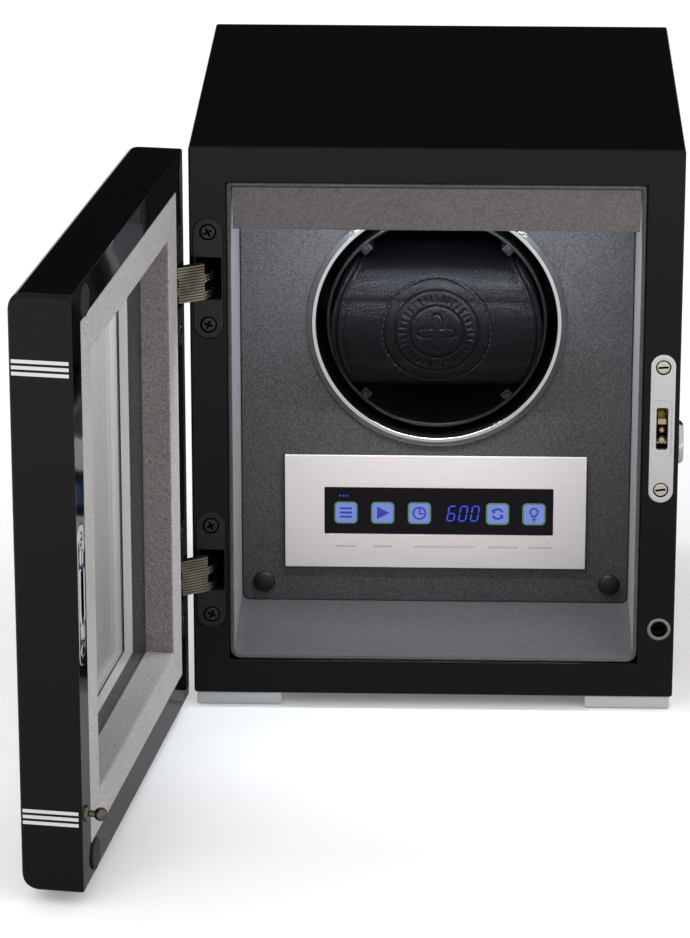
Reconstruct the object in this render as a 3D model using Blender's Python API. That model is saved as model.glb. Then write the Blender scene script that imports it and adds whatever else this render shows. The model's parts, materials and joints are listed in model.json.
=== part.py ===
"""Single watch winder box with an open glazed door.

Metres, +Z up. The case stands on four feet at Z = 0. Every size below is in the case's own
frame: X to the right from the middle of the case, Y to the back from its front face, and Z up
from the floor. Door pieces are drawn where they are when the door is shut, and the empty on the
hinge axis then swings them open.
"""

import math

import bmesh
import bpy
from mathutils import Matrix, Vector

MM = 0.001
GAP = 0.3 * MM  # clearance between pieces that touch

# ---- driving dimensions -------------------------------------------------------------------
CASE_WIDTH = 200 * MM
CASE_DEPTH = 202 * MM
CASE_FLOOR = 6 * MM  # underside of the case, on its feet
CASE_TOP = 243 * MM
WALL = 15 * MM
LINING = 1.7 * MM
LINING_FRONT = 0.8 * MM
LINING_DEPTH = 75 * MM
CLEAR_HALF = CASE_WIDTH / 2 - WALL - GAP - LINING  # inner face of the side linings

FOOT_SIZE = 35.5 * MM
FOOT_INSET = 1.2 * MM
FOOT_CHAMFER = 1.2 * MM

FASCIA_FRONT = 63.5 * MM
FASCIA_THICK = 4 * MM
DRUM_X = 0.0
DRUM_Z = 149 * MM
BEZEL_OUTER = 54.7 * MM
BEZEL_LIP = 52.2 * MM
BEZEL_INNER = 50.8 * MM
CUP_OUTER = 46.1 * MM
CUP_INNER = 44.9 * MM
CUP_FRONT = 64 * MM
CUP_BACK = 122 * MM
CUSHION_RADIUS = 44.4 * MM
CUSHION_HALF_HEIGHT = 28 * MM
CUSHION_FRONT = 49.5 * MM
CUSHION_BACK = 98 * MM
LUG_ANGLES = (47, 133, 227, 313)

PLATE_LEFT, PLATE_RIGHT = -64.3 * MM, 64.3 * MM
PLATE_LOW, PLATE_HIGH = 39.1 * MM, 89.9 * MM
WINDOW_LEFT, WINDOW_RIGHT = -47.6 * MM, 50.5 * MM
WINDOW_LOW, WINDOW_HIGH = 54.1 * MM, 75.7 * MM
PLATE_THICK = 1.2 * MM
PLUG_PLACES = {"left": -73.4 * MM, "right": 74.7 * MM}
PLUG_Z = 31.7 * MM

DOOR_THICK = 24 * MM
DOOR_GAP = 1.2 * MM  # between the shut door and the case
DOOR_BORDER = 14.5 * MM  # lacquered border round the suede on the inner face
DOOR_FRAME = 28.5 * MM  # width of a rail or stile
SUEDE_SKIN = 1.7 * MM
DOOR_OUTER_RADIUS = 6.5 * MM
DOOR_EDGE_RADIUS = 1.5 * MM
DOOR_OPEN_DEG = 98.0  # how far the door stands open
AXIS_X = -101.2 * MM
AXIS_Y = -DOOR_GAP / 2

HINGE_X = -92.4 * MM
HINGE_PLACES = {"upper": 187.5 * MM, "lower": 60.9 * MM}
LEAF_WIDTH = 12.2 * MM
LEAF_HEIGHT = 51.2 * MM
LEAF_THICK = 2.2 * MM
MORTISE_LEFT, MORTISE_RIGHT = -97.7 * MM, -86.8 * MM
MORTISE_HALF_HEIGHT = 9 * MM
MORTISE_DEPTH = 17.6 * MM
LINK_PIVOT_X = -91 * MM
LINK_PIVOT_DEPTH = 2.2 * MM  # behind the face that the leaf is let into
LINK_HALF_WIDTH = 1.6 * MM
LINK_PLATES = 5
LINK_PACK_HEIGHT = 7.4 * MM

LOCK_X = 93 * MM
LOCK_Z = 124.7 * MM
LOCK_PLATE_WIDTH = 10.3 * MM
LOCK_PLATE_HEIGHT = 64.2 * MM
LOCK_PLATE_THICK = 1.8 * MM
LOCK_SLOT_WIDTH = 4.7 * MM
LOCK_SLOT_HEIGHT = 18 * MM
BARREL_Y = 12.4 * MM
BARREL_Z = 115 * MM
BARREL_RADIUS = 4 * MM
ESCUTCHEON_RADIUS = 9 * MM
ESCUTCHEON_PROUD = 2.4 * MM
CATCH_X = 93.7 * MM
CATCH_Z = 36.7 * MM

MECHANISM_BACK = 134 * MM  # outside of the drum housing's back wall
MOTOR_Z = 79 * MM
CUP_PULLEY_RADIUS = 18 * MM
MOTOR_PULLEY_RADIUS = 6 * MM
BELT_THICK = 1.2 * MM

# ---- materials: colour, roughness, metallic ------------------------------------------------
FINISHES = {
    "black_lacquer": ((0.006, 0.006, 0.007), 0.08, 0.0),
    "case_suede": ((0.085, 0.085, 0.095), 0.95, 0.0),
    "pelmet_suede": ((0.15, 0.13, 0.12), 0.95, 0.0),
    "door_suede": ((0.36, 0.34, 0.34), 0.95, 0.0),
    "brushed_plate": ((0.62, 0.58, 0.56), 0.35, 1.0),
    "polished_ring": ((0.72, 0.72, 0.72), 0.18, 1.0),
    "chrome": ((0.80, 0.80, 0.80), 0.06, 1.0),
    "satin_foot": ((0.36, 0.38, 0.40), 0.40, 1.0),
    "antique_nickel": ((0.32, 0.28, 0.21), 0.35, 1.0),
    "black_hardware": ((0.018, 0.018, 0.018), 0.35, 1.0),
    "steel": ((0.55, 0.55, 0.55), 0.35, 1.0),
    "brass": ((0.65, 0.50, 0.22), 0.30, 1.0),
    "smoked_window": ((0.010, 0.008, 0.018), 0.08, 0.0),
    "black_plastic": ((0.012, 0.012, 0.013), 0.45, 0.0),
    "white_plastic": ((0.60, 0.60, 0.58), 0.50, 0.0),
    "circuit_board": ((0.02, 0.12, 0.06), 0.50, 0.0),
    "rubber": ((0.010, 0.010, 0.010), 0.75, 0.0),
    "leather": ((0.008, 0.008, 0.010), 0.45, 0.0),
    "rear_panel": ((0.012, 0.012, 0.013), 0.55, 0.0),
    "door_glass": ((0.80, 0.85, 0.84), 0.02, 0.0),
    "led_light": ((0.85, 0.90, 1.00), 0.40, 0.0),
}


def make_materials():
    """Make one Principled material for each finish."""
    made = {}
    for name, (colour, roughness, metallic) in FINISHES.items():
        material = bpy.data.materials.new(name)
        material.use_nodes = True
        shader = material.node_tree.nodes["Principled BSDF"]
        shader.inputs["Base Color"].default_value = (*colour, 1.0)
        shader.inputs["Roughness"].default_value = roughness
        shader.inputs["Metallic"].default_value = metallic
        made[name] = material
    return made


# ---- outlines: lists of points in a plane ---------------------------------------------------
def circle(cx, cy, radius, count=32):
    """Points round a circle."""
    step = 2 * math.pi / count
    return [(cx + radius * math.cos(i * step), cy + radius * math.sin(i * step)) for i in range(count)]


def rounded_rectangle(cx, cy, width, height, radius, steps=6):
    """A rectangle with round corners; a radius of half the width gives round ends."""
    points = []
    for quarter, (sx, sy) in enumerate(((1, 1), (-1, 1), (-1, -1), (1, -1))):
        corner_x = cx + sx * (width / 2 - radius)
        corner_y = cy + sy * (height / 2 - radius)
        for i in range(steps + 1):
            angle = math.radians(90 * quarter + 90 * i / steps)
            points.append((corner_x + radius * math.cos(angle), corner_y + radius * math.sin(angle)))
    return without_repeats(points)


def rectangle(left, right, low, high):
    """A plain rectangle."""
    return [(left, low), (right, low), (right, high), (left, high)]


def without_repeats(points):
    """Drop each point that sits on the one before it."""
    kept = []
    for point in points:
        if not kept or (Vector(point) - Vector(kept[-1])).length > 0.01 * MM:
            kept.append(point)
    if (Vector(kept[0]) - Vector(kept[-1])).length <= 0.01 * MM:
        kept.pop()
    return kept


def lift(point, height, axis):
    """Put a point of a plane into space: the plane is square to the axis, at this height on it."""
    u, v = point
    return {"X": (height, u, v), "Y": (u, height, v), "Z": (u, v, height)}[axis]


# ---- solids -----------------------------------------------------------------------------------
def finish(name, bm, material, parent, smooth_deg=None):
    """Turn a bmesh into an object with its faces pointing out."""
    bmesh.ops.recalc_face_normals(bm, faces=bm.faces)
    mesh = bpy.data.meshes.new(name)
    bm.to_mesh(mesh)
    bm.free()
    if smooth_deg is not None:
        mesh.shade_smooth()
        mesh.set_sharp_from_angle(angle=math.radians(smooth_deg))
    if material is not None:
        mesh.materials.append(material)
    made = bpy.data.objects.new(name, mesh)
    bpy.context.collection.objects.link(made)
    made.parent = parent
    return made


def loft(name, rings, material, parent, closed=False, smooth_deg=None):
    """Skin a row of rings; a ring of one point is a pole, and a closed loft joins last to first."""
    bm = bmesh.new()
    rows = [[bm.verts.new(point) for point in ring] for ring in rings]
    pairs = list(zip(rows, rows[1:]))
    if closed:
        pairs.append((rows[-1], rows[0]))
    for below, above in pairs:
        count = max(len(below), len(above))
        for i in range(count):
            j = (i + 1) % count
            corners = [below[i % len(below)], below[j % len(below)]]
            corners += [above[j % len(above)], above[i % len(above)]]
            unique = [corner for k, corner in enumerate(corners) if corner not in corners[:k]]
            bm.faces.new(unique)
    if not closed:
        for row in (rows[0], rows[-1]):
            if len(row) > 2:
                bm.faces.new(row)
    return finish(name, bm, material, parent, smooth_deg)


def box(name, low, high, material, parent):
    """A plain block between two corners, given in metres."""
    outline = rectangle(low[0], high[0], low[1], high[1])
    rings = [[lift(point, height, "Z") for point in outline] for height in (low[2], high[2])]
    return loft(name, rings, material, parent)


def prism(name, outlines, axis, low, high, material, parent, smooth_deg=None):
    """Extrude an outline along an axis; any outline after the first is a hole through it."""
    bm = bmesh.new()
    edges = []
    for outline in outlines:
        corners = [bm.verts.new(lift(point, low, axis)) for point in outline]
        edges += [bm.edges.new((corners[i - 1], corners[i])) for i in range(len(corners))]
    bmesh.ops.triangle_fill(bm, use_beauty=True, use_dissolve=False, edges=edges)
    grown = bmesh.ops.extrude_face_region(bm, geom=bm.faces[:])
    moved = [item for item in grown["geom"] if isinstance(item, bmesh.types.BMVert)]
    bmesh.ops.translate(bm, verts=moved, vec=Vector(lift((0, 0), high - low, axis)))
    return finish(name, bm, material, parent, smooth_deg)


def turned(name, profile, centre, axis, material, parent, closed=False, count=32):
    """Turn a profile of (radius, place along the axis) round an axis through a centre.

    A closed profile makes a ring. An open one starts and ends on the axis.
    """
    rings = []
    for radius, along in profile:
        if radius == 0:
            rings.append([lift(centre, along, axis)])
        else:
            rings.append([lift(point, along, axis) for point in circle(*centre, radius, count)])
    return loft(name, rings, material, parent, closed, smooth_deg=35)


def cutter(target, tool, operation="DIFFERENCE"):
    """Apply a tool to a target with an exact Boolean, and keep the tool out of the model."""
    tool.hide_render = True
    tool.display_type = "WIRE"
    change = target.modifiers.new(operation.lower(), "BOOLEAN")
    change.operation = operation
    change.solver = "EXACT"
    change.object = tool


def empty(name, place, turn_deg, parent):
    """A named frame that turns about Z."""
    made = bpy.data.objects.new(name, None)
    bpy.context.collection.objects.link(made)
    made.parent = parent
    made.location = place
    made.rotation_euler = (0, 0, math.radians(turn_deg))
    return made


# ---- the case ---------------------------------------------------------------------------------
def make_case(finishes, frame):
    """Four lacquered walls, the rear cover and the four feet."""
    half = CASE_WIDTH / 2
    lacquer = finishes["black_lacquer"]
    low, high = CASE_FLOOR + WALL, CASE_TOP - WALL
    box("case_top", (-half, 0, high), (half, CASE_DEPTH, CASE_TOP), lacquer, frame)
    box("case_bottom", (-half, 0, CASE_FLOOR), (half, CASE_DEPTH, low), lacquer, frame)
    sides = {"left": (-half, -half + WALL), "right": (half - WALL, half)}
    walls = {}
    for side, (x_low, x_high) in sides.items():
        corner_low = (x_low, 0, low + GAP)
        corner_high = (x_high, CASE_DEPTH, high - GAP)
        walls[side] = box(f"case_side_{side}", corner_low, corner_high, lacquer, frame)
    for place in HINGE_PLACES.values():
        cut_hinge_mortise(walls["left"], place, 0.0, 1, frame)
    cut_lock_mortise(walls["right"], frame)
    make_rear_cover(finishes, frame, half - WALL - GAP, low + GAP, high - GAP)
    for row, y_low in (("front", FOOT_INSET), ("rear", CASE_DEPTH - FOOT_INSET - FOOT_SIZE)):
        for side, x_low in (("left", -half + FOOT_INSET), ("right", half - FOOT_INSET - FOOT_SIZE)):
            make_foot(f"foot_{row}_{side}", x_low, y_low, finishes, frame)


def make_foot(name, x_low, y_low, finishes, frame):
    """A satin block with its lower edges chamfered."""
    middle = (x_low + FOOT_SIZE / 2, y_low + FOOT_SIZE / 2)
    small = FOOT_SIZE - 2 * FOOT_CHAMFER
    levels = ((0.0, small), (FOOT_CHAMFER, FOOT_SIZE), (CASE_FLOOR - GAP, FOOT_SIZE))
    rings = []
    for height, size in levels:
        outline = rounded_rectangle(*middle, size, size, 1.5 * MM, steps=2)
        rings.append([lift(point, height, "Z") for point in outline])
    loft(name, rings, finishes["satin_foot"], frame)


VENT_COUNT = 7
VENT_PITCH = 8 * MM
VENT_SIZE = (46 * MM, 3 * MM)
SOCKET_PLACE = (62 * MM, 42 * MM)


def make_rear_cover(finishes, frame, half_width, low, high):
    """The panel let into the back, with vent slots and a power socket."""
    vents = [
        rounded_rectangle(0, DRUM_Z + (i - VENT_COUNT // 2) * VENT_PITCH, *VENT_SIZE, 1.5 * MM, steps=2)
        for i in range(VENT_COUNT)
    ]
    holes = vents + [circle(*SOCKET_PLACE, 5.3 * MM, 24)]
    outline = rectangle(-half_width, half_width, low, high)
    front, back = CASE_DEPTH - 6 * MM, CASE_DEPTH - 0.5 * MM
    prism("rear_cover", [outline] + holes, "Y", front, back, finishes["rear_panel"], frame)
    socket = [
        (0, front - 12 * MM), (5 * MM, front - 12 * MM), (5 * MM, front - 3 * MM),
        (7.5 * MM, front - 3 * MM), (7.5 * MM, front - GAP), (5 * MM, front - GAP),
        (5 * MM, back - 0.2 * MM), (2.8 * MM, back - 0.2 * MM), (2.8 * MM, front - 8 * MM),
        (1 * MM, front - 8 * MM), (1 * MM, back - 1 * MM), (0, back - 1 * MM),
    ]
    turned("dc_socket", socket, SOCKET_PLACE, "Y", finishes["black_plastic"], frame, count=16)


def make_lining(finishes, frame):
    """Suede boards on the side walls and floor, and the pelmet that hides the lamp strip."""
    suede = finishes["case_suede"]
    floor_top = CASE_FLOOR + WALL + GAP + LINING
    wall_half = CLEAR_HALF + LINING
    ceiling = CASE_TOP - WALL - GAP
    for side, sign in (("left", -1), ("right", 1)):
        x_low, x_high = sorted((sign * CLEAR_HALF, sign * wall_half))
        low = (x_low, LINING_FRONT, floor_top - LINING)
        box(f"lining_{side}", low, (x_high, LINING_DEPTH, ceiling), suede, frame)
    inner = CLEAR_HALF - GAP
    low = (-inner, LINING_FRONT, floor_top - LINING)
    box("lining_floor", low, (inner, LINING_DEPTH, floor_top), suede, frame)
    front, back, board, drop = 1.5 * MM, FASCIA_FRONT - GAP, 4 * MM, 19.7 * MM
    skin = 1.8 * MM
    section = [
        (front, ceiling), (front, ceiling - drop), (front + board, ceiling - drop),
        (front + board, ceiling - skin), (back, ceiling - skin), (back, ceiling),
    ]
    prism("light_pelmet", [section], "X", -inner, inner, finishes["pelmet_suede"], frame)
    lamp_low = ceiling - skin - GAP - 3 * MM
    lamp = ((-70 * MM, 8 * MM, lamp_low), (70 * MM, 16 * MM, lamp_low + 3 * MM))
    box("led_strip", *lamp, finishes["led_light"], frame)


# ---- the fascia and its controls ----------------------------------------------------------------
def make_fascia(finishes, frame):
    """The inner front panel, its ring, the control plate, window, board and plugs."""
    floor_top = CASE_FLOOR + WALL + GAP + LINING
    low, high = floor_top + GAP, CASE_TOP - WALL - GAP
    width = 2 * (CLEAR_HALF - GAP)
    outline = rounded_rectangle(0, (low + high) / 2, width, high - low, 2 * MM, steps=3)
    window_hole = rectangle(
        WINDOW_LEFT - 1 * MM, WINDOW_RIGHT + 1 * MM, WINDOW_LOW - 1 * MM, WINDOW_HIGH + 1 * MM
    )
    plug_holes = [circle(x, PLUG_Z, 3.3 * MM, 16) for x in PLUG_PLACES.values()]
    holes = [circle(DRUM_X, DRUM_Z, BEZEL_LIP + GAP, 48), window_hole] + plug_holes
    back = FASCIA_FRONT + FASCIA_THICK
    prism("fascia_panel", [outline] + holes, "Y", FASCIA_FRONT, back, finishes["case_suede"], frame)

    face = FASCIA_FRONT - GAP
    ring = [
        (BEZEL_OUTER, face), (BEZEL_OUTER, face - 0.5 * MM), (BEZEL_LIP + 0.6 * MM, face - 1.8 * MM),
        (BEZEL_INNER, face - 1.8 * MM), (BEZEL_INNER, back + 3.5 * MM), (BEZEL_LIP, back + 3.5 * MM),
        (BEZEL_LIP, face),
    ]
    centre = (DRUM_X, DRUM_Z)
    turned("bezel_ring", ring, centre, "Y", finishes["polished_ring"], frame, closed=True, count=48)
    make_controls(finishes, frame, face, back)
    for side, x in PLUG_PLACES.items():
        dome = [
            (0, face - 2 * MM), (2.6 * MM, face - 1.7 * MM), (4.2 * MM, face - 0.8 * MM),
            (4.7 * MM, face), (3 * MM, face), (3 * MM, back), (0, back),
        ]
        turned(f"fascia_plug_{side}", dome, (x, PLUG_Z), "Y", finishes["rubber"], frame, count=16)


def make_controls(finishes, frame, face, fascia_back):
    """The metal control plate, the window in it, and the board behind."""
    outline = rectangle(PLATE_LEFT, PLATE_RIGHT, PLATE_LOW, PLATE_HIGH)
    opening = rectangle(WINDOW_LEFT, WINDOW_RIGHT, WINDOW_LOW, WINDOW_HIGH)
    front = face - PLATE_THICK
    prism("control_plate", [outline, opening], "Y", front, face, finishes["brushed_plate"], frame)
    low = (WINDOW_LEFT + GAP, front + 0.2 * MM, WINDOW_LOW + GAP)
    high = (WINDOW_RIGHT - GAP, fascia_back - 1 * MM, WINDOW_HIGH - GAP)
    box("display_window", low, high, finishes["smoked_window"], frame)
    low = (PLATE_LEFT + 4 * MM, fascia_back + GAP, PLATE_LOW + 5 * MM)
    high = (PLATE_RIGHT - 4 * MM, fascia_back + 1.9 * MM, PLATE_HIGH - 5 * MM)
    box("control_board", low, high, finishes["circuit_board"], frame)


# ---- the winding mechanism -----------------------------------------------------------------------
def make_drum(finishes, frame):
    """The fixed tub, the plate behind it, the bearing, the geared motor and the belt."""
    centre = (DRUM_X, DRUM_Z)
    start = FASCIA_FRONT + FASCIA_THICK + GAP
    tub = BEZEL_LIP + GAP
    hub = 6.3 * MM
    back_wall = 2.5 * MM
    housing = [
        (tub, start), (tub + 8 * MM, start), (tub + 8 * MM, start + 2.5 * MM),
        (tub + 2.2 * MM, start + 2.5 * MM), (tub + 2.2 * MM, MECHANISM_BACK),
        (hub, MECHANISM_BACK), (hub, MECHANISM_BACK - back_wall), (tub, MECHANISM_BACK - back_wall),
    ]
    plastic = finishes["black_plastic"]
    turned("drum_housing", housing, centre, "Y", plastic, frame, closed=True, count=36)

    plate_front = MECHANISM_BACK + GAP
    plate_back = plate_front + 2 * MM
    outline = rounded_rectangle(DRUM_X, (MOTOR_Z + DRUM_Z) / 2, 60 * MM, 118 * MM, 8 * MM, steps=4)
    holes = [circle(*centre, hub, 24), circle(DRUM_X, MOTOR_Z, 5.3 * MM, 24)]
    steel = finishes["steel"]
    prism("mechanism_plate", [outline] + holes, "Y", plate_front, plate_back, steel, frame)

    bush_inner, bush_outer, flange = 3.3 * MM, 6 * MM, 9 * MM
    bush = [
        (bush_inner, MECHANISM_BACK - 4 * MM), (bush_outer, MECHANISM_BACK - 4 * MM),
        (bush_outer, plate_back + GAP), (flange, plate_back + GAP),
        (flange, plate_back + 1.8 * MM), (bush_inner, plate_back + 1.8 * MM),
    ]
    turned("spindle_bearing", bush, centre, "Y", finishes["brass"], frame, closed=True, count=24)

    motor_front, motor_back = 95 * MM, MECHANISM_BACK
    boss_end = plate_back + 2.5 * MM
    body = [
        (0, motor_front), (12.5 * MM, motor_front), (12.5 * MM, motor_back), (5 * MM, motor_back),
        (5 * MM, boss_end), (1.8 * MM, boss_end), (1.8 * MM, motor_back - 10 * MM), (0, motor_back - 10 * MM),
    ]
    turned("gear_motor", body, (DRUM_X, MOTOR_Z), "Y", steel, frame, count=28)
    return boss_end


def make_rotating(finishes, frame, boss_end):
    """The cup on its spindle, the two pulleys and the belt round them."""
    centre = (DRUM_X, DRUM_Z)
    plastic = finishes["black_plastic"]
    floor_front = CUP_BACK - 2.5 * MM
    bore = 3.3 * MM
    cup = [
        (CUP_INNER, CUP_FRONT), (CUP_OUTER, CUP_FRONT), (CUP_OUTER, CUP_BACK), (9 * MM, CUP_BACK),
        (9 * MM, CUP_BACK + 6 * MM), (bore, CUP_BACK + 6 * MM), (bore, floor_front),
        (CUP_INNER, floor_front),
    ]
    winding_cup = turned("winding_cup", cup, centre, "Y", plastic, frame, closed=True, count=48)
    for angle in LUG_ANGLES:
        lug = box(
            f"lug_tool_{angle}",
            (CUP_INNER - 3.5 * MM, 0, -2.2 * MM),
            (CUP_INNER + 0.6 * MM, 40 * MM, 2.2 * MM),
            None,
            frame,
        )
        lug.location = (DRUM_X, CUP_FRONT + 1 * MM, DRUM_Z)
        lug.rotation_euler = (0, math.radians(angle), 0)
        cutter(winding_cup, lug, "UNION")

    pulley_low, pulley_high = boss_end + 4 * MM, boss_end + 12 * MM
    shaft = bore - GAP
    spindle = [
        (0, floor_front - 3 * MM), (6 * MM, floor_front - 3 * MM), (6 * MM, floor_front - GAP),
        (shaft, floor_front - GAP), (shaft, pulley_high + 2 * MM), (0, pulley_high + 2 * MM),
    ]
    turned("spindle", spindle, centre, "Y", finishes["steel"], frame, count=20)

    motor_shaft = [
        (0, MECHANISM_BACK - 8 * MM), (1.5 * MM, MECHANISM_BACK - 8 * MM),
        (1.5 * MM, pulley_high + 1 * MM), (0, pulley_high + 1 * MM),
    ]
    motor_centre = (DRUM_X, MOTOR_Z)
    turned("motor_shaft", motor_shaft, motor_centre, "Y", finishes["steel"], frame, count=12)
    pulleys = (
        ("cup_pulley", centre, CUP_PULLEY_RADIUS, shaft + GAP, 28),
        ("motor_pulley", motor_centre, MOTOR_PULLEY_RADIUS, 1.5 * MM + GAP, 20),
    )
    for name, middle, radius, hole, count in pulleys:
        make_pulley(name, middle, radius, hole, (pulley_low, pulley_high), count, finishes, frame)
    make_belt(finishes, frame, pulley_low + 2 * MM, pulley_high - 2 * MM)


def make_pulley(name, middle, radius, hole, span, count, finishes, frame):
    """A pulley with a flange at each side of its belt groove."""
    low, high = span
    lip = radius + 2 * MM
    profile = [
        (hole, low), (lip, low), (lip, low + 1.2 * MM), (radius, low + 1.2 * MM),
        (radius, high - 1.2 * MM), (lip, high - 1.2 * MM), (lip, high), (hole, high),
    ]
    turned(name, profile, middle, "Y", finishes["white_plastic"], frame, closed=True, count=count)


def belt_outline(offset, steps=16):
    """The line of a belt at this distance outside both pulleys."""
    span = DRUM_Z - MOTOR_Z
    lean = math.asin((CUP_PULLEY_RADIUS - MOTOR_PULLEY_RADIUS) / span)
    points = []
    arcs = (
        (DRUM_Z, CUP_PULLEY_RADIUS + offset, -lean, math.pi + lean),
        (MOTOR_Z, MOTOR_PULLEY_RADIUS + offset, math.pi + lean, 2 * math.pi - lean),
    )
    for middle, radius, start, end in arcs:
        for i in range(steps + 1):
            angle = start + (end - start) * i / steps
            points.append((DRUM_X + radius * math.cos(angle), middle + radius * math.sin(angle)))
    return points


def make_belt(finishes, frame, low, high):
    """The flat belt that joins the two pulleys."""
    outlines = [belt_outline(GAP + BELT_THICK), belt_outline(GAP)]
    prism("drive_belt", outlines, "Y", low, high, finishes["rubber"], frame, smooth_deg=35)


def cushion_section(inset):
    """The cushion's section in the Y-Z plane: a bulging front and a flatter back."""
    half = CUSHION_HALF_HEIGHT - inset
    front, back = CUSHION_FRONT + inset, CUSHION_BACK - inset
    corner = 15 * MM - inset
    bulge = 5 * MM
    count = 10
    points = []
    for i in range(count + 1):
        across = -1 + 2 * i / count
        z = across * (half - corner * 0.75)
        points.append((front + bulge * across * across * 0.6, DRUM_Z + z))
    top_front = points[-1]
    for i in range(1, 6):
        angle = math.radians(90 * i / 6)
        y = top_front[0] + (half - top_front[1] + DRUM_Z) * (1 - math.cos(angle)) * 1.2
        points.append((y, top_front[1] + (DRUM_Z + half - top_front[1]) * math.sin(angle)))
    back_corner = 8 * MM
    for i in range(5):
        angle = math.radians(90 - 90 * i / 4)
        points.append(
            (back - back_corner + back_corner * math.cos(angle),
             DRUM_Z + half - back_corner + back_corner * math.sin(angle))
        )
    upper = [point for point in points if point[1] > DRUM_Z + 0.01 * MM]
    upper.insert(0, (front, DRUM_Z))
    lower = [(y, 2 * DRUM_Z - z) for y, z in reversed(upper[1:])]
    return upper + lower


def make_cushion(finishes, frame):
    """The leather cuff that holds the watch: a sleeve round a firm core, cut to the cup's circle."""
    reach = CUSHION_RADIUS + 2 * MM
    skin = 2.5 * MM
    outer, inner = cushion_section(0.0), cushion_section(skin)
    core_line = cushion_section(skin + GAP)
    pieces = (
        ("cushion_cover", [outer, inner], CUSHION_RADIUS, "leather"),
        ("cushion_core", [core_line], CUSHION_RADIUS - 0.8 * MM, "black_plastic"),
    )
    for name, outlines, radius, finish_name in pieces:
        piece = prism(name, outlines, "X", -reach, reach, finishes[finish_name], frame, smooth_deg=35)
        profile = [(0, 0), (radius, 0), (radius, CASE_DEPTH), (0, CASE_DEPTH)]
        tool = turned(f"{name}_tool", profile, (DRUM_X, DRUM_Z), "Y", None, frame, count=56)
        cutter(piece, tool, "INTERSECT")


# ---- hinges -------------------------------------------------------------------------------------
def cut_hinge_mortise(target, z, face, direction, frame):
    """Let a hinge leaf into a face: a shallow seat and a deep pocket, going in along Y."""
    seat_line = rounded_rectangle(
        HINGE_X, z, LEAF_WIDTH + 2 * GAP, LEAF_HEIGHT + 2 * GAP, LEAF_WIDTH / 2 + GAP, steps=6
    )
    seat_ends = sorted((face - direction * 1 * MM, face + direction * (LEAF_THICK + GAP)))
    seat = prism(f"{target.name}_seat_{z:.3f}", [seat_line], "Y", *seat_ends, None, frame)
    cutter(target, seat)
    pocket_line = rectangle(MORTISE_LEFT, MORTISE_RIGHT, z - MORTISE_HALF_HEIGHT, z + MORTISE_HALF_HEIGHT)
    pocket_ends = sorted((face - direction * 1 * MM, face + direction * MORTISE_DEPTH))
    pocket = prism(f"{target.name}_pocket_{z:.3f}", [pocket_line], "Y", *pocket_ends, None, frame)
    cutter(target, pocket)


def make_hinge_leaf(name, z, face, direction, finishes, frame):
    """A round-ended leaf with an opening for the links and two screw holes."""
    ends = sorted((face, face + direction * LEAF_THICK))
    width = LEAF_WIDTH
    outline = rounded_rectangle(HINGE_X, z, width, LEAF_HEIGHT, width / 2, steps=8)
    opening = rectangle(MORTISE_LEFT, MORTISE_RIGHT, z - MORTISE_HALF_HEIGHT, z + MORTISE_HALF_HEIGHT)
    screws = [circle(HINGE_X, z + side * 19.6 * MM, 1.6 * MM, 12) for side in (-1, 1)]
    prism(name, [outline, opening] + screws, "Y", *ends, finishes["black_hardware"], frame)


def link_length():
    """Distance between the two link pivots with the door standing open."""
    arm = Vector((LINK_PIVOT_X - AXIS_X, -DOOR_GAP / 2 - LINK_PIVOT_DEPTH))
    turn = math.radians(-DOOR_OPEN_DEG)
    swung = Vector((
        arm.x * math.cos(turn) - arm.y * math.sin(turn),
        arm.x * math.sin(turn) + arm.y * math.cos(turn),
    ))
    case_pivot = Vector((LINK_PIVOT_X - AXIS_X, LINK_PIVOT_DEPTH - AXIS_Y))
    return (swung - case_pivot).length


def make_link_pack(name, z_low, direction, finishes, parent):
    """A pack of flat links on one pivot at the parent's origin, reaching along its Y axis."""
    length = link_length()
    groove = 0.35 * MM
    plate = (LINK_PACK_HEIGHT - (LINK_PLATES - 1) * groove) / LINK_PLATES
    rings = []
    for i in range(LINK_PLATES):
        low = z_low + i * (plate + groove)
        levels = [(low, LINK_HALF_WIDTH), (low + plate, LINK_HALF_WIDTH)]
        if i < LINK_PLATES - 1:
            waist = LINK_HALF_WIDTH - 0.5 * MM
            levels += [(low + plate, waist), (low + plate + groove, waist)]
        for height, half in levels:
            line = rounded_rectangle(0, direction * length / 2, 2 * half, length + 2 * half, half, steps=2)
            rings.append([lift(point, height, "Z") for point in line])
    loft(name, rings, finishes["antique_nickel"], parent)


def make_hinges(finishes, frame, door, shut):
    """Two concealed hinges: a leaf in the case, a leaf in the door, and two link packs each."""
    half_open = DOOR_OPEN_DEG / 2
    case_pivot = (LINK_PIVOT_X, LINK_PIVOT_DEPTH, 0)
    door_pivot = (LINK_PIVOT_X - AXIS_X, -DOOR_GAP - LINK_PIVOT_DEPTH - AXIS_Y, 0)
    case_links = empty("case_links_axis", case_pivot, -half_open, frame)
    door_links = empty("door_links_axis", door_pivot, half_open, door)
    for level, z in HINGE_PLACES.items():
        make_hinge_leaf(f"hinge_leaf_case_{level}", z, 0.0, 1, finishes, frame)
        make_hinge_leaf(f"hinge_leaf_door_{level}", z, -DOOR_GAP, -1, finishes, shut)
        make_link_pack(f"hinge_links_case_{level}", z - GAP / 2 - LINK_PACK_HEIGHT, -1, finishes, case_links)
        make_link_pack(f"hinge_links_door_{level}", z + GAP / 2, 1, finishes, door_links)


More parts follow.
